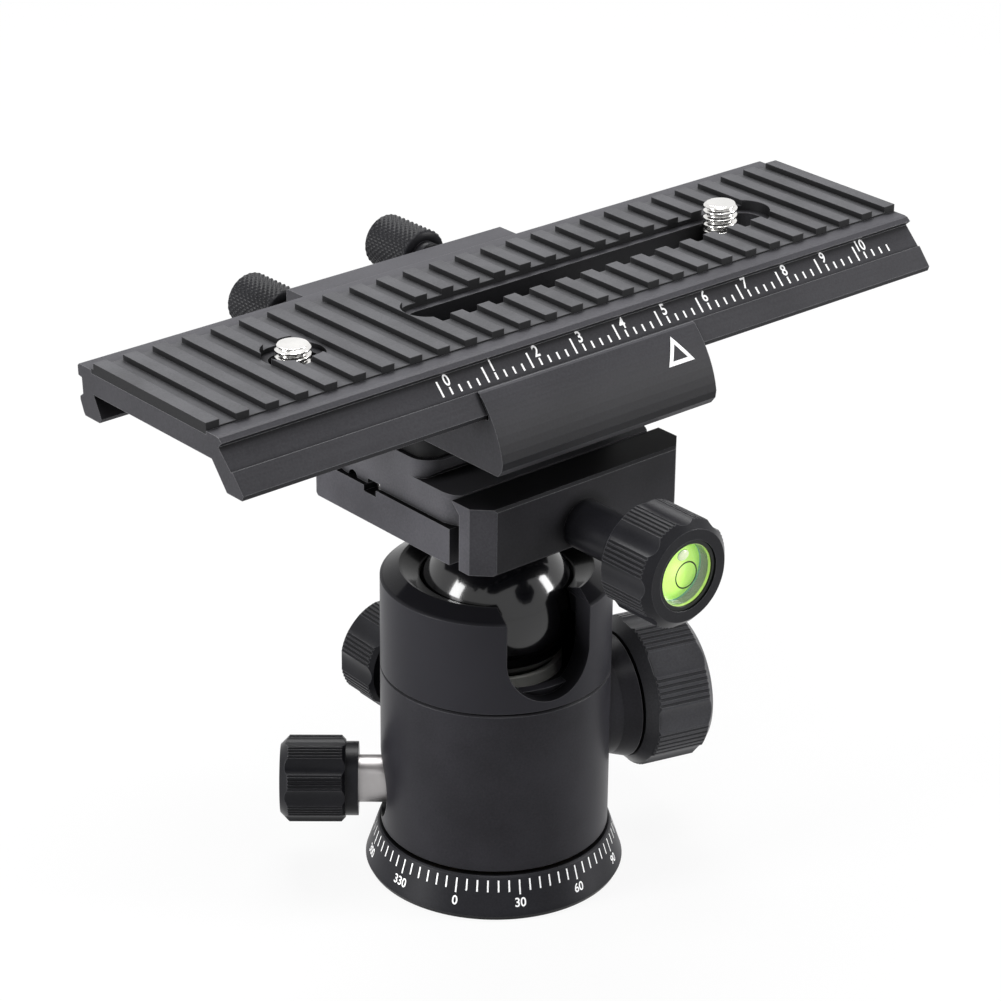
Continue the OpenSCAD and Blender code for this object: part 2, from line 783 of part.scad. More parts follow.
module clamp_knob() {
    color(black_anodised) forward(0, clamp_axis_z) difference() {
        union() {
            rod(clamp_hub_r, -clamp_knob_y, -grip_start_y + eps);
            translate([0, 0, -grip_start_y]) fluted_grip(clamp_knob_r, clamp_knob_l, knob_chamfer + 0.2, 0.8);
        }
        rod(clamp_screw_r + seat_gap, -clamp_knob_y - 1, -grip_start_y + 2);
        rod(level_r + 0.32, -grip_end_y - level_depth, -grip_end_y + 1);
    }
}

module level_cup() {
    wall = 0.75;
    color(black_gloss) forward(0, clamp_axis_z) difference() {
        rod(level_r + 0.3, -grip_end_y - level_depth, -grip_end_y - 0.3);
        rod(level_r + 0.3 - wall, -grip_end_y - level_depth + wall, -grip_end_y);
    }
}

module level_fluid() {
    color([0.62, 0.9, 0.1]) forward(0, clamp_axis_z) rod(level_r - 0.47, -grip_end_y - level_depth + 0.75, -grip_end_y - 1.9);
}

module level_lens() {
    color([0.9, 1, 0.85, 0.4]) forward(0, clamp_axis_z) rod(level_r - 0.47, -grip_end_y - 1.9, -grip_end_y - 0.5);
}

// ---------- quick-release plate ----------

// the plate's section: a flange with 45 degree sides, and a narrower body towards the back
module plate_outline() {
    front = plate_body_front_y - plate_y;
    polygon([[dovetail_half - flange_foot, slide_gap], [dovetail_half, slide_gap + flange_foot],
        [dovetail_half, flange_edge_h], [ledge_half, ledge_h], [ledge_half - body_undercut, ledge_h + body_undercut],
        [ledge_half - body_undercut, plate_t - 0.3], [ledge_half - body_undercut - 0.3, plate_t],
        [front + 0.3, plate_t], [front, plate_t - 0.3], [front, ledge_h + body_undercut],
        [front + body_undercut, ledge_h], [-ledge_half, ledge_h], [-dovetail_half, flange_edge_h],
        [-dovetail_half, slide_gap + flange_foot], [-dovetail_half + flange_foot, slide_gap]]);
}

// the plate seen from above: the flange, or the body with an inset
module plate_plan() {
    translate([plate_x, plate_y]) rounded_plan(plate_len, dovetail_w, plate_corner_r);
}

module body_plan(inset) {
    back = body_back_y - body_undercut;
    translate([plate_x, (back + plate_body_front_y) / 2])
        rounded_plan(plate_len - 2 * inset, back - plate_body_front_y - 2 * inset, plate_body_corner_r - inset);
}

module qr_plate() {
    groove_start = plate_x - plate_len / 2 - 1;
    color(black_satin) difference() {
        intersection() {
            translate([0, plate_y, floor_z]) along_rail(plate_x - plate_len / 2, plate_x + plate_len / 2) plate_outline();
            union() {
                translate([0, 0, floor_z - 1]) linear_extrude(ledge_h + 1) plate_plan();
                translate([0, 0, floor_z]) linear_extrude(plate_t + 1) body_plan(0);
            }
        }
        translate([groove_start, stop_pin_y - stop_groove_w / 2, floor_z - 1])
            cube([plate_len + 2, stop_groove_w, stop_groove_h + 1]);
        translate([groove_start, stop_pin_y + 5.9, floor_z]) rotate([0, 90, 0])
            cylinder(r = round_groove_r, h = plate_len + 2);
        for (side = [-1, 1]) translate([plate_x + side * stop_screw_x, stop_pin_y, 0])
            rod(stop_screw_r + seat_gap, floor_z, floor_z + 4.6);
        translate([0, plate_screw_y, 0]) rod(plate_screw_r + seat_gap, floor_z, plate_top_z + 1);
        translate([0, plate_screw_y, 0]) rod(plate_screw_head_r + 0.2, floor_z - 1, floor_z + plate_screw_head_h + 0.3);
        translate([0, 0, plate_top_z - pad_sink]) linear_extrude(pad_sink + 1) body_plan(pad_inset);
    }
}

module plate_pad() {
    color(rubber) difference() {
        translate([0, 0, plate_top_z - pad_sink]) linear_extrude(pad_sink + plate_pad_t) body_plan(pad_inset + seat_gap);
        translate([0, plate_screw_y, 0]) rod(plate_screw_r + 0.3, plate_top_z - 2, carriage_z + 1);
    }
}

module plate_screw() {
    slot_t = 1.2;
    head_z = floor_z + 0.3;
    color(steel) difference() {
        translate([0, plate_screw_y, 0]) {
            rod(plate_screw_head_r, head_z, head_z + plate_screw_head_h - 0.2);
            rod(plate_screw_r, head_z + 1, carriage_z + 5);
        }
        translate([-8, plate_screw_y - slot_t / 2, head_z - 1]) cube([16, slot_t, 2.2]);
    }
}

// they run in the groove of the clamp's floor and meet its stop pin
module plate_stop_screws() {
    color(steel) for (side = [-1, 1]) translate([plate_x + side * stop_screw_x, stop_pin_y, 0])
        rod(stop_screw_r, floor_z - floor_groove_depth + 0.2, floor_z + 4.5);
}

// ---------- carriage ----------

// front jaw: a swept outer face that hooks over the rail's toe
function jaw_face() = curve([rail_front_y + 2, 4.05], [carriage_front_y + 1.1, -0.9],
    [carriage_front_y, -6.9], 8);

module carriage_outline() {
    foot = 0.8;
    low = -carriage_deck_h;
    polygon(concat(jaw_face(), [[carriage_front_y + 0.2, low + 1.3], [carriage_front_y + 1.2, low],
        [carriage_back_y - foot, low], [carriage_back_y, low + foot], [carriage_back_y, back_wall_h - 0.4],
        [carriage_back_y - 0.4, back_wall_h], [wall_inner_y, back_wall_h], [wall_inner_y, 1.05],
        [rail_back_y + 0.25, 1.05], [rail_back_y + 0.25, -slide_gap], [rail_front_y - 0.3, -slide_gap],
        [rail_front_y - 0.3, 0.75], [rail_front_y + 2.55, 4.3]]));
}

module carriage() {
    color(black_satin) difference() {
        translate([0, 0, rail_z]) along_rail(carriage_left, carriage_right) carriage_outline();
        // room for the pinion
        backward(drive_axis_x, drive_z) rod(pitch_r + gear_module + pinion_room, rack_y - pinion_w / 2 - 0.6,
            rack_y + pinion_w / 2 + 0.6);
        translate([drive_axis_x - pitch_r - gear_module - pinion_room, rack_y - pinion_w / 2 - 0.6, drive_z])
            cube([2 * (pitch_r + gear_module + pinion_room), pinion_w + 1.2, pinion_w + 4]);
        // bearings of the pinion's shaft
        backward(drive_axis_x, drive_z) rod(drive_shaft_r + run_gap, rack_y - shaft_seat, carriage_back_y + 1);
        backward(drive_axis_x, drive_z) rod(bushing_r + seat_gap, carriage_back_y - bushing_l, carriage_back_y + 1);
        // thread of the lock screw
        backward(lock_axis_x, lock_z) rod(lock_screw_r + run_gap, wall_inner_y - 1, carriage_back_y + 1);
        // thread of the plate's screw
        translate([0, plate_screw_y, 0]) rod(plate_screw_r + seat_gap, carriage_z - 1, carriage_z + 5.6);
    }
}

module drive_bushing() {
    color(brass) backward(drive_axis_x, drive_z)
        ring(bushing_r, drive_shaft_r + run_gap, carriage_back_y - bushing_l, carriage_back_y + 0.6);
}

// half of a tooth's angle at a radius on the involute flank
function involute(angle) = tan(angle) * 180 / PI - angle;
function flank_angle(r, base_r) = r > base_r ? involute(acos(base_r / r)) : 0;

module pinion_gear() {
    pressure = 20;
    base_r = pitch_r * cos(pressure);
    root_r = pitch_r - 1.25 * gear_module;
    tip_r = pitch_r + gear_module;
    half = 90 / pinion_teeth - backlash / 2 / pitch_r * 90 / PI + involute(pressure);
    radii = [root_r, base_r, base_r + (tip_r - base_r) / 3, base_r + (tip_r - base_r) * 2 / 3, tip_r];
    flank = [for (r = radii) [r, half - flank_angle(r, base_r)]];
    polygon([for (i = [0:pinion_teeth - 1], side = [-1, 1], k = [0:4])
        let (p = flank[side < 0 ? k : 4 - k], a = 360 / pinion_teeth * i + side * p[1])
        [p[0] * cos(a), p[0] * sin(a)]]);
}

module pinion() {
    color(brass) backward(drive_axis_x, drive_z) {
        // a tooth points straight up at rest
        translate([0, 0, rack_y - pinion_w / 2]) rotate(-90) linear_extrude(pinion_w) pinion_gear();
        rod(drive_shaft_r, rack_y - shaft_seat + 1, drive_knob_y + 8);
    }
}

module drive_knob() {
    hub_r = 3.1;
    color(black_anodised) difference() {
        backward(drive_axis_x, drive_z) {
            rod(hub_r, carriage_back_y + 0.9, drive_knob_y + eps);
            translate([0, 0, drive_knob_y]) knurled_grip(rail_knob_r, rail_knob_l);
        }
        backward(drive_axis_x, drive_z) rod(drive_shaft_r + seat_gap, carriage_back_y, drive_knob_y + 8);
        translate([drive_axis_x, carriage_back_y + 4, drive_z]) cylinder(r = 1 + seat_gap, h = 5);
    }
}

module drive_grub_screw() {
    color(steel) translate([drive_axis_x, carriage_back_y + 4, 0])
        rod(1, drive_z + drive_shaft_r + 0.05, drive_z + 3);
}

// ---------- rail lock ----------

module gib() {
    nose_y = rail_back_y - 0.85;
    clear = 0.08;
    color(brass) difference() {
        translate([0, 0, rail_z]) along_rail(carriage_left + 2.5, carriage_left + 2.5 + gib_len) polygon([
            [rail_back_y + 0.3, 1.15], [wall_inner_y - gib_travel - 0.1, 1.15],
            [wall_inner_y - gib_travel - 0.1, 6.6], [rail_back_y + 0.3, 6.6],
            [nose_y + clear, 6.35], [nose_y + clear, 4.3], [rail_back_y + 0.3, 3.3]]);
        backward(lock_axis_x, lock_z) rod(lock_screw_r + 0.25, wall_inner_y - gib_travel - 1.2, wall_inner_y);
    }
}

module lock_screw() {
    color(steel) backward(lock_axis_x, lock_z) rod(lock_screw_r, wall_inner_y - gib_travel - 1.15, lock_knob_y + 7);
}

module lock_knob() {
    hub_r = 3.1;
    color(black_anodised) backward(lock_axis_x, lock_z) difference() {
        union() {
            rod(hub_r, carriage_back_y + 1.6, lock_knob_y + eps);
            translate([0, 0, lock_knob_y]) knurled_grip(rail_knob_r, rail_knob_l);
        }
        rod(lock_screw_r + seat_gap, carriage_back_y, lock_knob_y + 7);
    }
}

// ---------- rail ----------

// extruded section: toe and slanted scale face in front, grooved back edge, channel below
module rail_outline() {
    w = rail_w;
    polygon([[0.3, 0], [0, 0.9], [2.8, 4.2], [3.15, 4], [6.5, rail_h - 1.75], [5.5, rail_h - 0.8],
        [6.3, rail_h - 0.15], [7, rail_h], [w - 0.4, rail_h], [w, rail_h - 0.4], [w - 0.1, rail_h - 2.1],
        [w - 1.1, rail_h - 2.3], [w - 1.3, 3.9], [w - 0.4, 3.2], [w - 0.4, 2.6], [w - 1.3, 0.5], [w - 1.7, 0],
        [w - 5.9, 0], [w - 6.5, 0.8], [w - 4.4, channel_h], [8.3, channel_h], [4.4, 0]]);
}

module rail_plate() {
    color(black_satin) difference() {
        translate([0, rail_front_y, rail_z]) along_rail(rail_left, rail_right) rail_outline();
        translate([rail_left - 1, pad_front_y, pad_floor_z])
            cube([rail_len + 2, pad_back_y - pad_front_y, pad_recess + 1]);
        translate([rail_left + window_start + window_len / 2, screw_y, rail_z])
            linear_extrude(rail_h + 1) oblong(window_len - window_w + slot_w, slot_w);
        translate([rail_left + left_screw_x, screw_y, rail_z])
            linear_extrude(rail_h + 1) oblong(short_slot_len, slot_w);
        for (x = rack_screw_xs) translate([x, rack_y, 0]) rod(rack_screw_r + rack_screw_gap, rack_back_z - 1, rack_back_z + 2.2);
    }
}

module ribbed_pad() {
    pad_w = pad_back_y - pad_front_y - 2 * seat_gap;
    color(rubber) difference() {
        union() {
            translate([rail_left, pad_front_y + seat_gap, pad_floor_z]) cube([rail_len, pad_w, pad_sheet_t]);
            for (i = [0:rib_count - 1])
                translate([rail_left + i * rib_pitch, pad_front_y + seat_gap, sheet_top_z - eps])
                    cube([rib_w, rib_back_y - pad_front_y, rib_h + eps]);
        }
        translate([rail_left + window_start + window_len / 2, screw_y, pad_floor_z - 1])
            linear_extrude(5) oblong(window_len, window_w);
        translate([rail_left + left_screw_x, screw_y, pad_floor_z - 1])
            linear_extrude(5) oblong(short_window_len, window_w);
    }
}

// ---------- rack ----------

rack_screw_xs = [for (k = [0.1, 0.5, 0.9]) rack_start_x + k * rack_teeth_len];

// teeth point down, with a gap over the pinion's upright tooth
module rack_outline() {
    lean = tan(20);
    first = ceil((rack_start_x - drive_axis_x) / rack_pitch);
    last = floor((rack_start_x + rack_teeth_len - drive_axis_x) / rack_pitch) - 1;
    half = rack_pitch / 4 - backlash / 4;
    up = rack_root_z - pitch_line_z;
    down = gear_module;
    left = rack_start_x - rack_plain_end;
    right = rack_start_x + rack_teeth_len + rack_plain_end;
    polygon(concat([[left, rack_back_z - seat_gap], [left, rack_tip_z], [left + rack_plain_end, rack_tip_z],
        [left + rack_plain_end, rack_root_z]],
        [for (i = [first:last], p = [[-half - up * lean, rack_root_z], [-half + down * lean, rack_tip_z],
            [half - down * lean, rack_tip_z], [half + up * lean, rack_root_z]])
            [drive_axis_x + (i + 0.5) * rack_pitch + p[0], p[1]]],
        [[right - rack_plain_end, rack_root_z], [right - rack_plain_end, rack_tip_z], [right, rack_tip_z],
        [right, rack_back_z - seat_gap]]));
}

module rack() {
    color(steel) difference() {
        translate([0, rack_y + rack_w / 2, 0]) rotate([90, 0, 0]) linear_extrude(rack_w) rack_outline();
        for (x = rack_screw_xs) translate([x, rack_y, 0]) {
            rod(rack_screw_r + rack_screw_gap, rack_tip_z - 1, rack_back_z + 1);
            rod(rack_screw_head_r + 0.2, rack_tip_z - 1, rack_root_z + rack_screw_head_h);
        }
    }
}

module rack_screws() {
    color(steel) for (x = rack_screw_xs) translate([x, rack_y, 0]) {
        rod(rack_screw_r, rack_root_z + rack_screw_head_h - eps, rack_back_z + 2);
        rod(rack_screw_head_r, rack_root_z + 0.05, rack_root_z + rack_screw_head_h);
    }
}

// ---------- camera screws ----------

module camera_screw(x, proud, head_drop, thread_start) {
    tip = 0.5;
    top = ribs_top_z + proud;
    head_top = rack_back_z - head_drop;
    slot_t = 1.4;
    color(steel) translate([x, screw_y, 0]) difference() {
        union() {
            rod(camera_neck_r, head_top - eps, thread_start + eps);
            rod(camera_r, thread_start, top - tip);
            translate([0, 0, top - tip]) cylinder(r1 = camera_r, r2 = camera_r - tip, h = tip);
            rod(screw_head_r, head_top - screw_head_t, head_top);
        }
        translate([-7, -slot_t / 2, head_top - screw_head_t - 1]) cube([14, slot_t, 2.2]);
    }
}

module left_camera_screw() {
    camera_screw(rail_left + left_screw_x, left_proud, 2, pad_floor_z + 0.1);
}

module slot_washer() {
    color(nylon) translate([rail_left + right_screw_x, screw_y, 0])
        ring(screw_head_r, camera_neck_r + run_gap, rack_back_z - 0.45, rack_back_z - slide_gap);
}

module right_camera_screw() {
    camera_screw(rail_left + right_screw_x, right_proud, 0.5, ribs_top_z + 0.1);
}

base_ring();
pan_spindle();
thrust_washer();
spindle_nut();
housing();
collar();
socket_ring();
main_boss();
friction_boss();
ball_cup();
ball();
main_wedge();
main_lock_screw();
main_lock_knob();
main_knob_cap();
friction_pad();
friction_screw();
friction_knob();
pan_pad();
pan_lock_shaft();
pan_lock_knob();
clamp_base();
clamp_bolt();
clamp_guide_pins();
clamp_springs();
plate_stop_pin();
clamp_jaw();
clamp_screw();
clamp_knob();
level_cup();
level_fluid();
level_lens();
qr_plate();
plate_pad();
plate_screw();
plate_stop_screws();
carriage();
drive_bushing();
pinion();
drive_knob();
drive_grub_screw();
gib();
lock_screw();
lock_knob();
rail_plate();
rack();
rack_screws();
ribbed_pad();
left_camera_screw();
slot_washer();
right_camera_screw();
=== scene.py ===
import bpy
import bmesh
import math
from mathutils import Matrix, Vector


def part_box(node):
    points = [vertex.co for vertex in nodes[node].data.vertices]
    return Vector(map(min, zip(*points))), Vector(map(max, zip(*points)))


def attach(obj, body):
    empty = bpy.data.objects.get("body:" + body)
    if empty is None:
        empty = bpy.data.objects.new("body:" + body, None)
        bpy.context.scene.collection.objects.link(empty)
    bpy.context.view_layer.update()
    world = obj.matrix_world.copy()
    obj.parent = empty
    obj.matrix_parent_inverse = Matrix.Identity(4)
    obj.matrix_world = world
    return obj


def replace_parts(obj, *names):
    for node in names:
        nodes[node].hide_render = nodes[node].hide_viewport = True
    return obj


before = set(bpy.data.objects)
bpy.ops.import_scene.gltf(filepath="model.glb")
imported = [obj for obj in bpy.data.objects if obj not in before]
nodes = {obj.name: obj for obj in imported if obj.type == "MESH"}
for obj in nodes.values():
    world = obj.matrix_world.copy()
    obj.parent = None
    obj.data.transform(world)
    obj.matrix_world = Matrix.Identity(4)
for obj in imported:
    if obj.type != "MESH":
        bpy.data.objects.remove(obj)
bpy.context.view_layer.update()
mm = 0.001
onAxis = 0.001  # radius in mm that stands for a turned piece's axis


# Shader helpers

class Wire:
    # a socket that can stand in a sum, so that masks read like arithmetic
    def __init__(self, paint, socket):
        self.paint, self.socket = paint, socket

    def maths(self, operation, *others):
        return self.paint.add("ShaderNodeMath", {"operation": operation}, dict(enumerate((self,) + others)))

    def __add__(self, other):
        return self.maths("ADD", other)

    __radd__ = __add__

    def __mul__(self, other):
        return self.maths("MULTIPLY", other)

    __rmul__ = __mul__

    def __sub__(self, other):
        return self.maths("SUBTRACT", other)

    def __rsub__(self, other):
        return self.paint.add("ShaderNodeMath", {"operation": "SUBTRACT"}, {0: other, 1: self})

    def __truediv__(self, other):
        return self.maths("DIVIDE", other)

    def __pow__(self, other):
        return self.maths("POWER", other)

    def __gt__(self, other):
        return self.maths("GREATER_THAN", other)

    def clamp(self):
        return self.paint.add("ShaderNodeClamp", {}, {"Value": self})

    def ramp(self, low, high):
        # 0 below low, 1 above high, smooth between
        return self.paint.add("ShaderNodeMapRange", {"interpolation_type": "SMOOTHSTEP"},
                              {"Value": self, "From Min": low, "From Max": high})


class Paint:
    # one material, with its surface shader and a single way to add nodes
    def __init__(self, name, **sockets):
        self.material = bpy.data.materials.new(name)
        self.material.use_nodes = True
        self.tree = self.material.node_tree
        self.shader = self.tree.nodes["Principled BSDF"]
        self.set(**sockets)

    def set(self, **sockets):
        for key, value in sockets.items():
            self.feed(self.shader.inputs[socketNames.get(key, key)], value)

    def feed(self, socket, value):
        if isinstance(value, Wire):
            self.tree.links.new(value.socket, socket)
        elif isinstance(value, tuple) and len(value) == 3 and socket.type == "RGBA":
            socket.default_value = value + (1,)
        else:
            socket.default_value = value

    def add(self, kind, settings=None, sockets=None, out=0):
        node = self.tree.nodes.new(kind)
        for key, value in (settings or {}).items():
            setattr(node, key, value)
        for key, value in (sockets or {}).items():
            self.feed(node.inputs[key], value)
        return Wire(self, node.outputs[out])

    def place(self, axis=None, stretch=None):
        where = self.add("ShaderNodeTexCoord", out=3)
        if stretch:
            where = self.add("ShaderNodeVectorMath", {"operation": "MULTIPLY"}, {0: where, 1: stretch})
        if axis is None:
            return where
        return self.add("ShaderNodeSeparateXYZ", {}, {0: where}, out="XYZ".index(axis))

    def noise(self, scale, detail=2.0, rough=0.5, stretch=None):
        return self.add("ShaderNodeTexNoise", {},
                        {"Vector": self.place(stretch=stretch), "Scale": scale, "Detail": detail, "Roughness": rough})

    def mix(self, factor, first, second):
        return self.add("ShaderNodeMix", {"data_type": "RGBA"}, {0: factor, 6: first, 7: second}, out=2)

    def bump(self, height, distance, strength=1.0, normal=None):
        sockets = {"Height": height, "Distance": distance, "Strength": strength}
        if normal is not None:
            sockets["Normal"] = normal
        return self.add("ShaderNodeBump", {}, sockets)

    def rounded(self, radius):
        # a softened edge normal, and a mask that is 1 along the edges
        soft = self.add("ShaderNodeBevel", {"samples": 6}, {"Radius": radius})
        plain = self.add("ShaderNodeNewGeometry", out=1)
        along = self.add("ShaderNodeVectorMath", {"operation": "DOT_PRODUCT"}, {0: soft, 1: plain}, out=1)
        return soft, (1 - along).ramp(0.004, 0.12)

    def facing(self, along, across, above):
        # a factor by the way a face points, in the piece's own axes; the finishes scale colour towards black with it,
        # as painted shade on faces that point one way
        way = self.add("ShaderNodeTexCoord", out=1)
        square = self.add("ShaderNodeVectorMath", {"operation": "MULTIPLY"}, {0: way, 1: way})
        return self.add("ShaderNodeVectorMath", {"operation": "DOT_PRODUCT"},
                        {0: square, 1: (along, across, above)}, out=1)

    def exposed(self, reach, power=1.0):
        # 1 on open faces, towards 0 in grooves and gaps; the finishes darken their colour with it as painted shade
        free = self.add("ShaderNodeAmbientOcclusion", {"samples": 6}, {"Distance": reach * mm}, out=1)
        return free ** power


socketNames = {"color": "Base Color", "rough": "Roughness", "metal": "Metallic", "coat": "Coat Weight",
               "coatRough": "Coat Roughness", "spec": "Specular IOR Level", "normal": "Normal", "alpha": "Alpha",
               "ior": "IOR", "through": "Transmission Weight", "glow": "Emission Color",
               "glowStrength": "Emission Strength"}


def tinted(color, factor):
    return tuple(c * factor for c in color)


# Finishes, one function for each kind of surface

def blastedBlack(name, color, edge, rough, grain, edgeRadius=0.22, spec=0.08, patch=0.25,
                 paintedShadeReach=2.5, faces=(1, 1, 1)):
    # black anodised aluminium: fine blasted grain and soft patches, with painted shade on faces by the way they point
    # and in grooves, and a painted highlight that makes the edges a little lighter
    paint = Paint(name, spec=spec)
    soft, edges = paint.rounded(edgeRadius * mm)
    speck = paint.noise(2600, 3, 0.6)
    cloud = paint.noise(70, 2, 0.5)
    body = paint.mix((cloud * 0.6 + speck * 0.4).ramp(0.3, 0.7), tinted(color, 1 - patch), tinted(color, 1 + patch))
    # painted shade: faces that point along an axis weighted below 1 are darkened towards black
    body = paint.mix(paint.facing(*faces), (0, 0, 0), body)
    # painted shade: grooves and gaps darkened towards black
    body = paint.mix(paint.exposed(paintedShadeReach, 2.4), tinted(color, 0.05), body)
    # painted highlight: the edges lightened towards the edge colour
    paint.set(color=paint.mix(edges * 0.55, body, edge),
              rough=(rough - 0.06 + speck * 0.12 + cloud * 0.06 - edges * 0.08).clamp(),
              normal=paint.bump(speck, 0.03 * mm, grain, soft))
    return paint.material


def brushedBlack(name, color, edge, rough, faces=(1, 1, 1)):
    # the rail and its carriage: blasted, with faint extrusion lines along X; painted shade on faces by the way they
    # point and in grooves, and a painted highlight on the edges
    paint = Paint(name, spec=0.09)
    soft, edges = paint.rounded(0.2 * mm)
    speck = paint.noise(2400, 3, 0.6)
    lines = paint.noise(1500, 2, 0.6, stretch=(0.02, 1, 1))
    cloud = paint.noise(50, 2, 0.5)
    body = paint.mix((cloud * 0.35 + lines * 0.2 + speck * 0.45).ramp(0.3, 0.7),
                     tinted(color, 0.8), tinted(color, 1.22))
    # painted shade: faces that point along an axis weighted below 1 are darkened towards black
    body = paint.mix(paint.facing(*faces), (0, 0, 0), body)
    # painted shade: grooves and gaps darkened towards black
    body = paint.mix(paint.exposed(4.0, 2.2), tinted(color, 0.06), body)
    # painted highlight: the edges lightened towards the edge colour
    paint.set(color=paint.mix(edges * 0.6, body, edge),
              rough=(rough - 0.1 + lines * 0.08 + speck * 0.12 - edges * 0.08).clamp(),
              normal=paint.bump(speck * 0.75 + lines * 0.25, 0.03 * mm, 0.3, soft))
    return paint.material


def polishedBlack(name, color, rough, aboveZ=None, satin=0.35, edge=(0.1, 0.1, 0.105), spec=0.1, coat=0.25):
    # gloss black; below a given height it turns satin, as on the collar's wall; painted shade in grooves and on
    # upward faces, and a painted highlight on the edges
    paint = Paint(name, spec=spec, coatRough=0.05)
    soft, edges = paint.rounded(0.25 * mm)
    cloud = paint.noise(60, 2, 0.5)
    speck = paint.noise(2600, 3, 0.6)
    gloss = rough + cloud * 0.03
    if aboveZ is not None:
        high = paint.place("Z").ramp(aboveZ * mm, (aboveZ + 0.15) * mm)
        gloss = gloss * high + (satin + speck * 0.08) * (1 - high)
        paint.set(coat=high * coat)
    else:
        paint.set(coat=coat)
    body = paint.mix(cloud, color, tinted(color, 1.3))
    # painted shade: grooves, and faces that point up, darkened towards black
    body = paint.mix(paint.exposed(9.0, 2.0) * paint.facing(1, 1, 0.3), (0, 0, 0), body)
    # painted highlight: the edges lightened towards the edge colour
    paint.set(color=paint.mix(edges * 0.5, body, edge), rough=gloss, normal=paint.bump(speck, 0.01 * mm, 0.12, soft))
    return paint.material


def rubberBlack(name, color, sides=None):
    # soft rubber, with painted shade: the walls of its ribs are painted darker than its upper faces, and its grooves
    # darker still; its edges carry a painted highlight
    paint = Paint(name, spec=0.2)
    soft, edges = paint.rounded(0.18 * mm)
    speck = paint.noise(1800, 4, 0.7)
    cloud = paint.noise(90, 3, 0.6)
    body = paint.mix((speck * 0.5 + cloud * 0.5).ramp(0.3, 0.7), tinted(color, 0.75), tinted(color, 1.3))
    if sides:
        facing = paint.add("ShaderNodeVectorMath", {"operation": "DOT_PRODUCT"},
                           {0: paint.add("ShaderNodeNewGeometry", out=1), 1: (0, 0, 1)}, out=1)
        # painted shade: faces that don't point up, the walls of the ribs, take the darker sides colour
        body = paint.mix(facing.ramp(0.3, 0.8), sides, body)
    # painted shade: grooves darkened
    body = paint.mix(paint.exposed(1.6, 1.5), tinted(color, 0.1), body)
    # painted highlight: the edges lightened
    paint.set(color=paint.mix(edges * 0.3, body, tinted(color, 1.6)),
              rough=(0.6 + speck * 0.15 - edges * 0.1).clamp(), normal=paint.bump(speck, 0.04 * mm, 0.5, soft))
    return paint.material


def turnedSteel(name, color, rough, lines=0.2):
    # bare metal with fine turning lines and slight wear
    paint = Paint(name, metal=1.0)
    soft, edges = paint.rounded(0.12 * mm)
    fine = paint.noise(2200, 2, 0.6)
    cloud = paint.noise(140, 3, 0.6)
    paint.set(color=paint.mix(cloud.ramp(0.3, 0.7), tinted(color, 0.88), color),
              rough=(rough + fine * 0.1 + cloud * 0.06 - edges * 0.05).clamp(),
              normal=paint.bump(fine, 0.02 * mm, lines, soft))
    return paint.material


def plainPlastic(name, color, rough):
    paint = Paint(name, spec=0.2)
    soft, edges = paint.rounded(0.12 * mm)
    cloud = paint.noise(160, 3, 0.6)
    paint.set(color=paint.mix(cloud, tinted(color, 0.9), color), rough=rough + cloud * 0.08,
              normal=paint.bump(cloud, 0.02 * mm, 0.2, soft))
    return paint.material


def printedWhite(name):
    paint = Paint(name, spec=0.3)
    speck = paint.noise(1500, 3, 0.6)
    paint.set(color=paint.mix(speck.ramp(0.2, 0.5), (0.8, 0.8, 0.8), (0.95, 0.95, 0.95)), rough=0.55)
    return paint.material


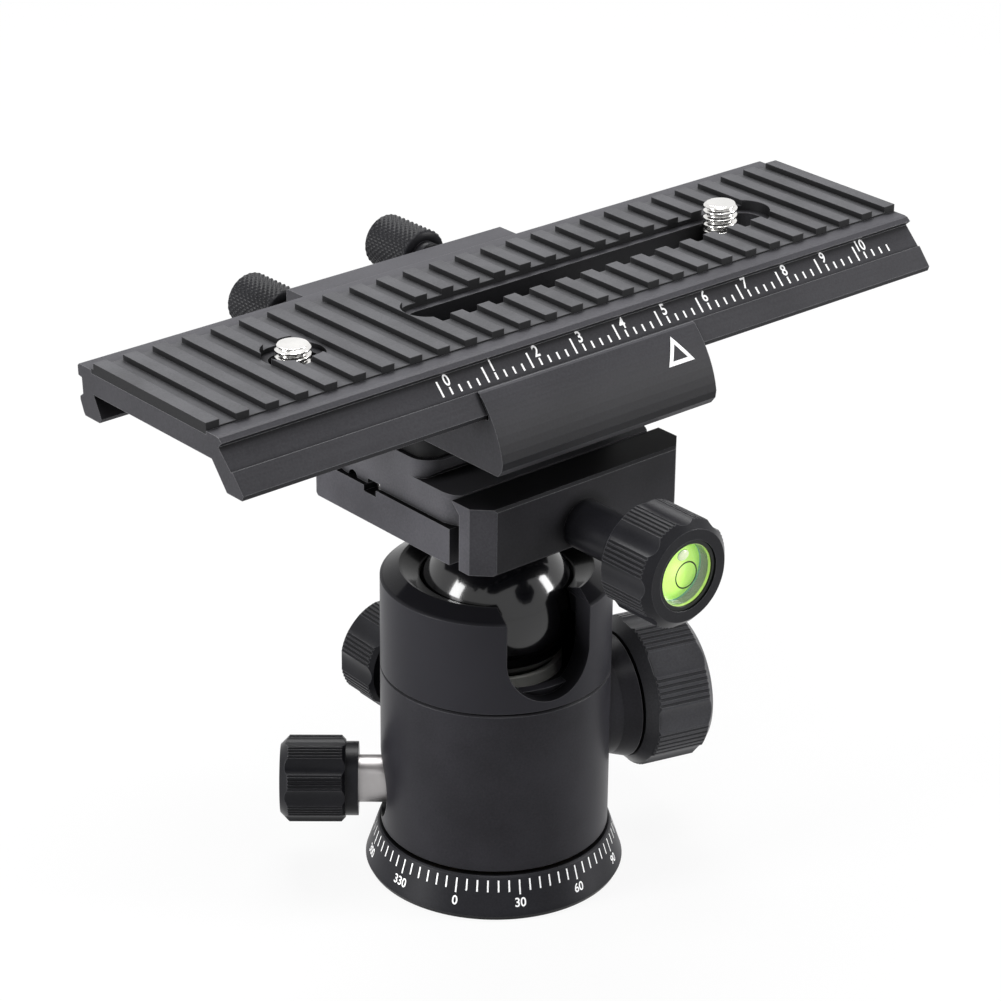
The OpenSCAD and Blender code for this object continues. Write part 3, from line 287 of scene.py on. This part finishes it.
finish = {
    # painted shade: the last tuple of the rail, clamp and plate darkens faces by the way they point
    "rail": brushedBlack("railBlack", (0.064, 0.063, 0.07), (0.22, 0.22, 0.23), 0.46, (0.6, 0.2, 1)),
    "clamp": blastedBlack("clampBlack", (0.058, 0.057, 0.064), (0.2, 0.2, 0.21), 0.4, 0.3,
                          faces=(1, 0.3, 0.08)),
    "plate": blastedBlack("plateBlack", (0.074, 0.073, 0.08), (0.22, 0.22, 0.23), 0.42, 0.3,
                          faces=(1, 0.5, 0.5)),
    # the last keyword of the two knob finishes sets how far painted shade reaches into grooves
    "knob": blastedBlack("knobBlack", (0.01, 0.01, 0.012), (0.14, 0.14, 0.15), 0.28, 0.2, 0.16, spec=0.12,
                         paintedShadeReach=2.2),
    # painted light: a lighter copy of the knob black, standing for the light that falls on the main lock knob from
    # the right
    "mainKnobPaintedLight": blastedBlack("mainKnobPaintedLightBlack", (0.04, 0.04, 0.044), (0.2, 0.2, 0.21), 0.28, 0.2, 0.16, spec=0.14,
                             paintedShadeReach=2.2),
    "knurl": blastedBlack("knurlBlack", (0.012, 0.012, 0.014), (0.12, 0.12, 0.13), 0.33, 0.2, 0.1, spec=0.12),
    "body": blastedBlack("bodyBlack", (0.019, 0.0185, 0.022), (0.12, 0.12, 0.13), 0.34, 0.12, spec=0.1),
    "base": blastedBlack("baseBlack", (0.016, 0.016, 0.019), (0.1, 0.1, 0.11), 0.36, 0.15, spec=0.1),
    "collar": polishedBlack("collarBlack", (0.018, 0.0177, 0.021), 0.12, 59.35, 0.33, coat=0.1, spec=0.07),
    "ball": polishedBlack("ballBlack", (0.004, 0.004, 0.005), 0.13, spec=0.4, coat=0.4),
    "liner": plainPlastic("linerBlack", (0.004, 0.004, 0.005), 0.3),
    # painted shade: the pad's third colour darkens the walls of its ribs
    "pad": rubberBlack("padRubber", (0.07, 0.07, 0.075), (0.008, 0.008, 0.009)),
    "smallPad": rubberBlack("plateRubber", (0.012, 0.012, 0.013)),
    "steel": turnedSteel("shaftSteel", (0.4, 0.385, 0.385), 0.3, 0.15),
    "nickel": turnedSteel("screwNickel", (0.86, 0.85, 0.83), 0.1, 0.08),
    "brass": turnedSteel("bushingBrass", (0.72, 0.52, 0.24), 0.25),
    "nylon": plainPlastic("padNylon", (0.75, 0.75, 0.7), 0.45),
    "cup": plainPlastic("levelCupBlack", (0.01, 0.012, 0.01), 0.2),
    "print": printedWhite("scalePrint"),
}


lensLow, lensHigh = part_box("level_lens")
cupLow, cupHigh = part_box("level_cup")
level = {"x": (cupLow.x + cupHigh.x) / 2 / mm, "z": (cupLow.z + cupHigh.z) / 2 / mm, "front": cupLow.y / mm,
         "r": (lensHigh.x - lensLow.x) / 2 / mm, "floor": 2.9, "wallEnd": (0.75, 2.5), "ring": 2.4, "ringWidth": 0.26,
         "bubble": (0.2, 3.25), "bubbleSize": (1.3, 1.0, 0.35), "bubbleGap": 0.15, "dome": 0.35, "lensFoot": 0.9,
         "lensEdge": 0.3, "lensInset": 0.14, "play": 0.02, "wall": 0.12, "mouth": 0.25, "foot": 0.1}


def levelLiquid():
    # painted light and shade on the green fluid: painted brighter at the vial's floor, with a darker green edge, and
    # a dark wall between two pale bands
    paint = Paint("levelLiquid", rough=0.25, coat=0.6, coatRough=0.05, glowStrength=0.42)
    x = paint.place("X") - level["x"] * mm
    z = paint.place("Z") - level["z"] * mm
    deep = (paint.place("Y") - level["front"] * mm) / mm
    away = (x * x + z * z) ** 0.5 / (level["r"] * mm)
    swirl = paint.noise(120, 2, 0.5)
    limeWithPaintedLight = paint.mix(away.ramp(0.0, 0.5), (0.68, 1.0, 0.22), (0.55, 0.95, 0.12))
    limeWithPaintedLight = paint.mix((away + swirl * 0.1).ramp(0.72, 1.02), limeWithPaintedLight, (0.3, 0.72, 0.03))
    first, last = level["wallEnd"]
    wall = paint.mix(deep.ramp(first - 0.15, first + 0.15), (0.38, 0.55, 0.14), (0.055, 0.065, 0.065))
    wall = paint.mix(deep.ramp(last - 0.1, last + 0.1), wall, (0.015, 0.16, 0.12))
    onWall = away > 0.97
    paintedGlowTone = paint.mix(onWall, limeWithPaintedLight, wall)
    # painted glow: the fluid emits its own painted colour
    paint.set(color=paintedGlowTone, glow=paintedGlowTone)
    return paint.material


def levelGlass():
    paint = Paint("levelGlass", rough=0.03, ior=1.45, spec=0.5)
    cloud = paint.noise(200, 2, 0.5)
    paint.set(color=(0.9, 1.0, 0.8), alpha=0.05 + cloud * 0.02)
    return paint.material


def levelAir():
    # painted light: the bubble's side that faces the front is painted paler as a highlight, and the bubble glows with
    # that colour
    paint = Paint("levelAir", rough=0.15, glowStrength=0.3)
    facing = paint.add("ShaderNodeNewGeometry", out=1)
    front = paint.add("ShaderNodeVectorMath", {"operation": "DOT_PRODUCT"}, {0: facing, 1: (0, -1, 0)}, out=1)
    paintedGlowTone = paint.mix(front.ramp(0.35, 0.85), (0.12, 0.3, 0.1), (0.62, 0.68, 0.45))
    paint.set(color=paintedGlowTone, glow=paintedGlowTone)
    return paint.material


finish["liquid"] = levelLiquid()
finish["lens"] = levelGlass()
finish["air"] = levelAir()

nodeFinish = {
    "rail": ["rail_plate", "carriage"],
    "clamp": ["clamp_base", "clamp_jaw"],
    "plate": ["qr_plate"],
    "knob": ["friction_knob", "pan_lock_knob", "clamp_knob"],
    "mainKnobPaintedLight": ["main_lock_knob", "main_knob_cap"],
    "knurl": ["drive_knob", "lock_knob"],
    "body": ["housing", "main_boss", "friction_boss"],
    "base": ["base_ring"],
    "collar": ["collar"],
    "ball": ["ball"],
    "liner": ["socket_ring"],
    "pad": ["ribbed_pad"],
    "smallPad": ["plate_pad"],
    "steel": ["pan_spindle", "spindle_nut", "main_lock_screw", "friction_screw", "pan_lock_shaft", "clamp_bolt",
              "clamp_guide_pins", "clamp_springs", "plate_stop_pin", "clamp_screw", "plate_screw",
              "drive_grub_screw", "lock_screw", "rack", "rack_screws"],
    "nickel": ["left_camera_screw", "right_camera_screw", "plate_stop_screws"],
    "brass": ["thrust_washer", "main_wedge", "drive_bushing", "pinion", "gib"],
    "nylon": ["ball_cup", "friction_pad", "pan_pad", "slot_washer"],
    "cup": ["level_cup"],
    "liquid": ["level_fluid"],
    "lens": ["level_lens"],
}
for key, names in nodeFinish.items():
    for name in names:
        nodes[name].data.materials.clear()
        nodes[name].data.materials.append(finish[key])
print("finishes done")


# Mesh helpers

def makePiece(name, verts, faces, material, body, smooth=True):
    mesh = bpy.data.meshes.new(name)
    mesh.from_pydata(verts, [], faces)
    mesh.validate()
    mesh.materials.append(finish[material])
    piece = bpy.data.objects.new(name, mesh)
    bpy.context.scene.collection.objects.link(piece)
    for polygon in mesh.polygons:
        polygon.use_smooth = smooth
    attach(piece, body)
    return piece


def ring(r, height, steps):
    return [(r * math.cos(2 * math.pi * c / steps), r * math.sin(2 * math.pi * c / steps), height)
            for c in range(steps)]


def wrapGrid(rows, columns):
    # quads of a grid that closes round its columns, rows listed one after another
    return [(r * columns + c, r * columns + (c + 1) % columns, (r + 1) * columns + (c + 1) % columns,
             (r + 1) * columns + c) for r in range(rows - 1) for c in range(columns)]


def mapText(text, height, spacing=1.0):
    # outline of a number as a flat mesh: (points in mm, faces, width)
    curve = bpy.data.curves.new("number", "FONT")
    curve.body = text
    curve.size = 1.0
    curve.space_character = spacing
    curve.offset = 0.018
    holder = bpy.data.objects.new("number", curve)
    bpy.context.scene.collection.objects.link(holder)
    bpy.context.view_layer.update()
    mesh = holder.evaluated_get(bpy.context.evaluated_depsgraph_get()).to_mesh()
    points = [(v.co.x, v.co.y) for v in mesh.vertices]
    faces = [tuple(p.vertices) for p in mesh.polygons]
    low, high = min(p[1] for p in points), max(p[1] for p in points)
    left, right = min(p[0] for p in points), max(p[0] for p in points)
    scale = height / (high - low)
    points = [((x - left) * scale, (y - low) * scale) for x, y in points]
    bpy.data.objects.remove(holder)
    return points, faces, (right - left) * scale


def gather(parts):
    # joins lists of (verts, faces)
    verts, faces = [], []
    for some, quads in parts:
        faces += [tuple(i + len(verts) for i in face) for face in quads]
        verts += some
    return verts, faces


# The rail's printed scale

railLow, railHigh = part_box("rail_plate")
scale = {"zeroX": -27.35, "centimetres": 10, "lastTick": 10.8, "faceTop": (6.5, 7.35), "faceFoot": (3.15, 4.0),
         "longTick": (0.19, 0.815), "shortTick": (0.52, 0.81), "tickWidth": 0.38, "numberAt": (0.46, 0.0),
         "numberMiddle": 2.05, "numberWidth": 0.88, "lift": 0.02}


def onScaleFace(u, v):
    # u along the rail in mm, v down the slanted face from 0 at its top to 1 at its foot
    top, foot = scale["faceTop"], scale["faceFoot"]
    y = top[0] + (foot[0] - top[0]) * v
    z = top[1] + (foot[1] - top[1]) * v
    length = math.hypot(top[0] - foot[0], top[1] - foot[1])
    y -= (top[1] - foot[1]) / length * scale["lift"]
    z += (top[0] - foot[0]) / length * scale["lift"]
    return (u * mm, railLow.y + y * mm, railLow.z + z * mm)


def scaleFaceLength():
    top, foot = scale["faceTop"], scale["faceFoot"]
    return math.hypot(top[0] - foot[0], top[1] - foot[1])


def buildRailScale():
    parts = []
    half = scale["tickWidth"] / 2
    perCentimetre = 5
    for i in range(int(round(scale["lastTick"] * perCentimetre)) + 1):
        x = scale["zeroX"] + 10 / perCentimetre * i
        top, foot = scale["longTick" if i % perCentimetre == 0 else "shortTick"]
        parts.append(([onScaleFace(x - half, top), onScaleFace(x + half, top), onScaleFace(x + half, foot),
                       onScaleFace(x - half, foot)], [(0, 3, 2, 1)]))
    foot, top = scale["numberAt"]
    height = (foot - top) * scaleFaceLength()
    for n in range(scale["centimetres"] + 1):
        points, faces, width = mapText(str(n), height)
        x = scale["zeroX"] + 10 * n + scale["numberMiddle"] - width * scale["numberWidth"] / 2
        parts.append(([onScaleFace(x + p[0] * scale["numberWidth"], foot - (foot - top) * p[1] / height)
                       for p in points], faces))
    verts, faces = gather(parts)
    return makePiece("railScalePrint", verts, faces, "print", "rail", False)


buildRailScale()


# The index triangle on the carriage's jaw

jaw = {"from": (2.0, 4.05), "pull": (-3.0, -0.9), "to": (-4.1, -6.9), "left": 19.4, "right": 25.6,
       "tip": 22.4, "top": 0.068, "foot": 0.46, "length": 12.73, "width": 0.75, "lift": 0.05}


def onJaw(u, v):
    # u along the rail in mm, v down the jaw's curved face from 0 to 1
    a, b, c = jaw["from"], jaw["pull"], jaw["to"]
    y, z = ((1 - v) ** 2 * a[i] + 2 * v * (1 - v) * b[i] + v * v * c[i] for i in (0, 1))
    dy, dz = (2 * (1 - v) * (b[i] - a[i]) + 2 * v * (c[i] - b[i]) for i in (0, 1))
    length = math.hypot(dy, dz)
    y, z = y + dz / length * jaw["lift"], z - dy / length * jaw["lift"]
    return (u * mm, railLow.y + y * mm, railLow.z + z * mm)


def buildJawTriangle():
    # an outline: outer corners, and inner ones at the stroke's width from them
    length = jaw["length"]
    outer = [Vector((jaw["tip"], jaw["top"] * length)), Vector((jaw["right"], jaw["foot"] * length)),
             Vector((jaw["left"], jaw["foot"] * length))]
    sides = [(outer[i] - outer[i - 1]).length for i in range(3)]
    middle = sum((outer[i] * sides[(i + 2) % 3] for i in range(3)), Vector((0, 0))) / sum(sides)
    a, b, c = sides
    half = sum(sides) / 2
    inRadius = math.sqrt((half - a) * (half - b) * (half - c) / half)
    steps = 12
    verts, faces = [], []
    for i in range(3):
        for k in range(steps):
            edge = outer[i].lerp(outer[(i + 1) % 3], k / steps)
            inner = edge.lerp(middle, jaw["width"] / inRadius)
            verts += [onJaw(edge.x, edge.y / length), onJaw(inner.x, inner.y / length)]
    count = 3 * steps
    faces = [(2 * i, 2 * i + 1, (2 * i + 3) % (2 * count), (2 * i + 2) % (2 * count)) for i in range(count)]
    return makePiece("jawIndexTriangle", verts, faces, "print", "plate_and_carriage", False)


buildJawTriangle()


# The pan scale on the base ring

panScale = {"footR": 24.2, "footZ": 0.8, "topR": 21.9, "topZ": 7.7, "zeroAt": -148.4, "step": 5, "numberStep": 30,
            "tickTop": 0.06, "shortTick": 0.36, "longTick": 0.44, "tickWidth": 0.32, "numberTop": 0.52,
            "numberHeight": 1.75, "numberWidth": 0.95, "lift": 0.02}


def onCone(azimuth, v):
    # v from 0 at the cone's upper edge to 1 at its foot
    r = panScale["topR"] + (panScale["footR"] - panScale["topR"]) * v + panScale["lift"]
    z = panScale["topZ"] + (panScale["footZ"] - panScale["topZ"]) * v
    a = math.radians(azimuth)
    return (r * math.cos(a) * mm, r * math.sin(a) * mm, z * mm)


def buildPanScale():
    slope = math.hypot(panScale["footR"] - panScale["topR"], panScale["topZ"] - panScale["footZ"])
    perDegree = math.radians(1) * panScale["footR"]
    parts = []
    for i in range(360 // panScale["step"]):
        azimuth = panScale["zeroAt"] + i * panScale["step"]
        isLong = i * panScale["step"] % panScale["numberStep"] == 0
        half = panScale["tickWidth"] / 2 / perDegree
        foot = panScale["longTick" if isLong else "shortTick"]
        rows = [panScale["tickTop"], foot]
        parts.append(([onCone(azimuth - half, rows[0]), onCone(azimuth + half, rows[0]),
                       onCone(azimuth + half, rows[1]), onCone(azimuth - half, rows[1])], [(0, 3, 2, 1)]))
        if isLong:
            points, faces, width = mapText(str(i * panScale["step"]), panScale["numberHeight"])
            width *= panScale["numberWidth"]
            parts.append(([onCone(azimuth + (p[0] * panScale["numberWidth"] - width / 2) / perDegree,
                                  panScale["numberTop"] + (panScale["numberHeight"] - p[1]) / slope)
                           for p in points], faces))
    verts, faces = gather(parts)
    return makePiece("panScalePrint", verts, faces, "print", "base", False)


buildPanScale()
print("scales done")


# Camera screws with their threads

screw = {"r": 3.175, "neckR": 2.5, "depth": 0.62, "pitch": 1.27, "chamfer": 0.5, "headR": 5.5, "headT": 2.6,
         "slotWidth": 1.4, "slotDepth": 1.2, "steps": 72, "rowsPerTurn": 14, "neckLength": 1.2, "pointR": 1.2,
         "bevel": 0.3, "crest": 1.45, "flank": 3.4}


def buildCameraScrew(name, node, body):
    low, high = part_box(node)
    x, y = (low.x + high.x) / 2, (low.y + high.y) / 2
    tall = (high.z - low.z) / mm
    threadFoot = screw["headT"] + screw["neckLength"]
    rows = int((tall - threadFoot) / screw["pitch"] * screw["rowsPerTurn"])
    heights = [threadFoot + (tall - threadFoot) * i / rows for i in range(rows + 1)]
    steps = screw["steps"]
    verts = []
    headR, headT, bevel = screw["headR"], screw["headT"], screw["bevel"]
    for r, z in [(onAxis, bevel), (headR - bevel, 0), (headR, bevel), (headR, headT - bevel), (headR - bevel, headT),
                 (screw["neckR"], headT), (screw["neckR"], threadFoot)]:
        verts += ring(r, z, steps)
    for z in heights[1:]:
        for c in range(steps):
            phase = (z / screw["pitch"] - c / steps) % 1
            crest = min(1, max(0, screw["crest"] - abs(phase - 0.5) * screw["flank"]))
            r = screw["r"] - screw["depth"] * (1 - crest)
            r = min(r, screw["r"] - max(0, z - (tall - screw["chamfer"])))
            verts.append((r * math.cos(2 * math.pi * c / steps), r * math.sin(2 * math.pi * c / steps), z))
    for r, z in [(screw["pointR"], tall), (onAxis, tall)]:
        verts += ring(r, z, steps)
    faces = wrapGrid(len(verts) // steps, steps)
    verts = [(x + vx * mm, y + vy * mm, low.z + vz * mm) for vx, vy, vz in verts]
    piece = makePiece(name, verts, faces, "nickel", body)
    cutSlot(piece, (x, y, low.z), (2 * screw["headR"] + 1, screw["slotWidth"], 2 * screw["slotDepth"]))
    sharpen(piece, 35)
    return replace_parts(piece, node)


def cutSlot(piece, centre, size):
    bpy.ops.mesh.primitive_cube_add(size=1, location=centre)
    cutter = bpy.context.object
    cutter.scale = [s * mm for s in size]
    bpy.context.view_layer.update()
    cut = piece.modifiers.new("slot", "BOOLEAN")
    cut.object = cutter
    cut.solver = "EXACT"
    bakeModifiers(piece)
    bpy.data.objects.remove(cutter)


def bakeModifiers(piece):
    bpy.context.view_layer.update()
    mesh = bpy.data.meshes.new_from_object(piece.evaluated_get(bpy.context.evaluated_depsgraph_get()))
    piece.modifiers.clear()
    piece.data = mesh


def sharpen(piece, degrees):
    for polygon in piece.data.polygons:
        polygon.use_smooth = True
    piece.data.set_sharp_from_angle(angle=math.radians(degrees))


buildCameraScrew("leftCameraScrew", "left_camera_screw", "left_screw")
buildCameraScrew("rightCameraScrew", "right_camera_screw", "right_screw")


# Knurled knobs of the drive and the lock

knurl = {"rows": 9, "around": 26, "depth": 0.32, "chamfer": 0.5, "perDiamond": 6, "capRecess": 0.35,
         "capInset": (1.3, 1.6), "fade": 0.6, "hubR": 3.1, "hubBevel": 0.2}


def buildKnurledKnob(name, node, body, length):
    low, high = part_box(node)
    hubR, bevel, hubLength = knurl["hubR"], knurl["hubBevel"], (high.y - low.y) / mm - length
    x, z = (low.x + high.x) / 2, (low.z + high.z) / 2
    r = (high.x - low.x) / 2 / mm
    around = knurl["around"]
    steps = around * knurl["perDiamond"]
    along = int(length / (2 * math.pi * r / around) * knurl["perDiamond"])
    profile = [(onAxis, -hubLength), (hubR - bevel, -hubLength), (hubR, -hubLength + bevel), (hubR, 0)]
    verts = []
    for pr, pz in profile:
        verts += ring(pr, pz, steps)
    for i in range(along + 1):
        h = length * i / along
        edge = min(h, length - h)
        for c in range(steps):
            a = c / steps * around
            b = h / (2 * math.pi * r / around)
            ridge = max(abs(((a + b) % 1) - 0.5), abs(((a - b) % 1) - 0.5)) * 2
            pr = r - knurl["depth"] * ridge ** 1.5 * min(1, edge / knurl["fade"])
            pr = min(pr, r - max(0, knurl["chamfer"] - edge))
            verts.append((pr * math.cos(2 * math.pi * c / steps), pr * math.sin(2 * math.pi * c / steps), h))
    recess = length - knurl["capRecess"]
    lip, well = knurl["capInset"]
    for pr, pz in [(r - lip, length), (r - well, recess), (onAxis, recess)]:
        verts += ring(pr, pz, steps)
    faces = [tuple(reversed(face)) for face in wrapGrid(len(verts) // steps, steps)]
    back = high.y - length * mm
    verts = [(x + vx * mm, back + vz * mm, z + vy * mm) for vx, vy, vz in verts]
    piece = makePiece(name, verts, faces, "knurl", body)
    sharpen(piece, 50)
    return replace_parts(piece, node)


knobLength = 11.6
buildKnurledKnob("driveKnobKnurled", "drive_knob", "drive", knobLength)
buildKnurledKnob("lockKnobKnurled", "lock_knob", "rail_lock", knobLength)
print("screws and knurled knobs done")


# The bubble level: vial, bubble, ring and domed lens

def levelTurned(name, profile, material, replaced=None, smooth=True, steps=64):
    # rows of (radius, depth behind the cup's front edge) turned about the knob's axis
    verts = [((level["x"] + r * math.cos(2 * math.pi * c / steps)) * mm, (level["front"] + depth) * mm,
              (level["z"] + r * math.sin(2 * math.pi * c / steps)) * mm)
             for r, depth in profile for c in range(steps)]
    piece = makePiece(name, verts, wrapGrid(len(profile), steps), material, "clamp_screw_knob", smooth)
    if smooth:
        sharpen(piece, 40)
    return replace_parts(piece, replaced) if replaced else piece


def buildLevel():
    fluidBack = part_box("level_fluid")[1].y / mm - level["front"]
    r, floor, mouth, bevel = level["r"] - level["play"], level["floor"], level["mouth"], level["foot"]
    inside = r - level["wall"]
    levelTurned("levelVial", [(onAxis, fluidBack), (r - bevel, fluidBack), (r, fluidBack - bevel), (r, mouth),
                              (inside, mouth), (inside, level["wallEnd"][0]), (inside, floor), (onAxis, floor)],
                "liquid", "level_fluid")
    rise, foot, lensR = level["dome"], level["lensFoot"], r - level["lensInset"]
    edge = foot - level["lensEdge"]
    dome = [(lensR * math.sin(a), edge - rise * math.cos(a) ** 2)
            for a in (math.radians(10 * i) for i in range(10))]
    levelTurned("levelDome", [(onAxis, dome[0][1])] + dome[1:] + [(lensR, foot), (onAxis, foot)],
                "lens", "level_lens")
    inner, outer = level["ring"] - level["ringWidth"] / 2, level["ring"] + level["ringWidth"] / 2
    depth = edge - rise * (1 - (level["ring"] / lensR) ** 2) - level["play"]
    levelTurned("levelRing", [(inner, depth - 0.01), (outer, depth)], "cup", None, False)
    across, up = level["bubble"]
    wide, tall, thick = level["bubbleSize"]
    centre = (level["x"] + across, level["front"] + foot + thick + level["bubbleGap"], level["z"] + up)
    bpy.ops.mesh.primitive_uv_sphere_add(segments=32, ring_count=16, location=[c * mm for c in centre])
    bubble = bpy.context.object
    bubble.name = "levelBubble"
    bubble.scale = (wide * mm, thick * mm, tall * mm)
    bubble.data.materials.append(finish["air"])
    for polygon in bubble.data.polygons:
        polygon.use_smooth = True
    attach(bubble, "clamp_screw_knob")


buildLevel()
print("level done")


# Camera, light and floor

shot = {"place": (-365.20, -422.88, 336.73), "azimuth": -40.873, "elevation": 25.211, "roll": 0.602,
        "focalPixels": 3426.72, "frame": 1001, "sensor": 36}


def buildCamera():
    a, e, r = (math.radians(shot[key]) for key in ("azimuth", "elevation", "roll"))
    back = Vector((math.sin(a) * math.cos(e), -math.cos(a) * math.cos(e), math.sin(e)))
    right = (-back).cross(Vector((0, 0, 1))).normalized()
    up = right.cross(-back)
    right, up = right * math.cos(r) + up * math.sin(r), up * math.cos(r) - right * math.sin(r)
    data = bpy.data.cameras.new("shot")
    data.sensor_width = shot["sensor"]
    data.lens = shot["focalPixels"] / shot["frame"] * shot["sensor"]
    data.clip_start, data.clip_end = 0.01, 10
    camera = bpy.data.objects.new("shot", data)
    camera.matrix_world = Matrix.Translation([c * mm for c in shot["place"]]) @ Matrix(
        (right, up, back)).transposed().to_4x4()
    bpy.context.scene.collection.objects.link(camera)
    bpy.context.scene.camera = camera


lamps = {
    "left": {"place": (-1.05, 0.33, 0.4), "size": (0.35, 0.7), "power": 15},
    "topBack": {"place": (0.3, 0.45, 0.95), "size": (0.6, 0.5), "power": 9},
    "right": {"place": (0.8, -0.68, 0.32), "size": (0.25, 0.7), "power": 10},
    "top": {"place": (-0.15, -0.3, 1.05), "size": (0.5, 0.4), "power": 6},
}


def buildLamps():
    target = Vector((0, 0, 0.07))
    for name, lamp in lamps.items():
        data = bpy.data.lights.new(name, "AREA")
        data.shape = "RECTANGLE"
        data.size, data.size_y = lamp["size"]
        data.energy = lamp["power"]
        holder = bpy.data.objects.new(name, data)
        holder.location = lamp["place"]
        holder.rotation_euler = (target - holder.location).to_track_quat("-Z", "Y").to_euler()
        bpy.context.scene.collection.objects.link(holder)


surround = {"white": (1, 1, 1), "lit": (0.06, 0.06, 0.065), "floorKeep": 0.9, "floor": (0.72, 0.72, 0.72)}


def buildSurround():
    world = bpy.data.worlds.new("studio")
    world.use_nodes = True
    bpy.context.scene.world = world
    tree = world.node_tree
    path = tree.nodes.new("ShaderNodeLightPath")
    seen = tree.nodes.new("ShaderNodeMath")
    seen.operation = "MAXIMUM"
    also = tree.nodes.new("ShaderNodeMath")
    also.operation = "MAXIMUM"
    tree.links.new(path.outputs["Is Camera Ray"], seen.inputs[0])
    tree.links.new(path.outputs["Is Glossy Ray"], seen.inputs[1])
    tree.links.new(seen.outputs[0], also.inputs[0])
    tree.links.new(path.outputs["Is Transmission Ray"], also.inputs[1])
    blend = tree.nodes.new("ShaderNodeMix")
    blend.data_type = "RGBA"
    blend.inputs[6].default_value = surround["lit"] + (1,)
    blend.inputs[7].default_value = surround["white"] + (1,)
    tree.links.new(also.outputs[0], blend.inputs[0])
    tree.links.new(blend.outputs[2], tree.nodes["Background"].inputs["Color"])
    tree.nodes["Background"].inputs["Strength"].default_value = 1

    bpy.ops.mesh.primitive_circle_add(vertices=64, radius=2.5, fill_type="NGON", location=(0, 0, -0.0002))
    floor = bpy.context.object
    floor.name = "floor"
    paint = Paint("floorWhite", color=surround["floor"], rough=0.9, spec=0.0)
    glow = paint.add("ShaderNodeEmission", {}, {"Color": surround["white"], "Strength": 1.0})
    rays = paint.add("ShaderNodeLightPath")
    camera = Wire(paint, rays.socket.node.outputs["Is Camera Ray"])
    glossy = Wire(paint, rays.socket.node.outputs["Is Glossy Ray"])
    through = Wire(paint, rays.socket.node.outputs["Is Transmission Ray"])
    keep = (camera + glossy + through).clamp() * surround["floorKeep"]
    both = paint.add("ShaderNodeMixShader", {}, {0: keep, 1: Wire(paint, paint.shader.outputs[0]), 2: glow})
    paint.tree.links.new(both.socket, paint.tree.nodes["Material Output"].inputs["Surface"])
    floor.data.materials.append(paint.material)


buildCamera()
buildLamps()
buildSurround()
bpy.context.scene.view_settings.view_transform = "Standard"
print("camera, light and floor done")
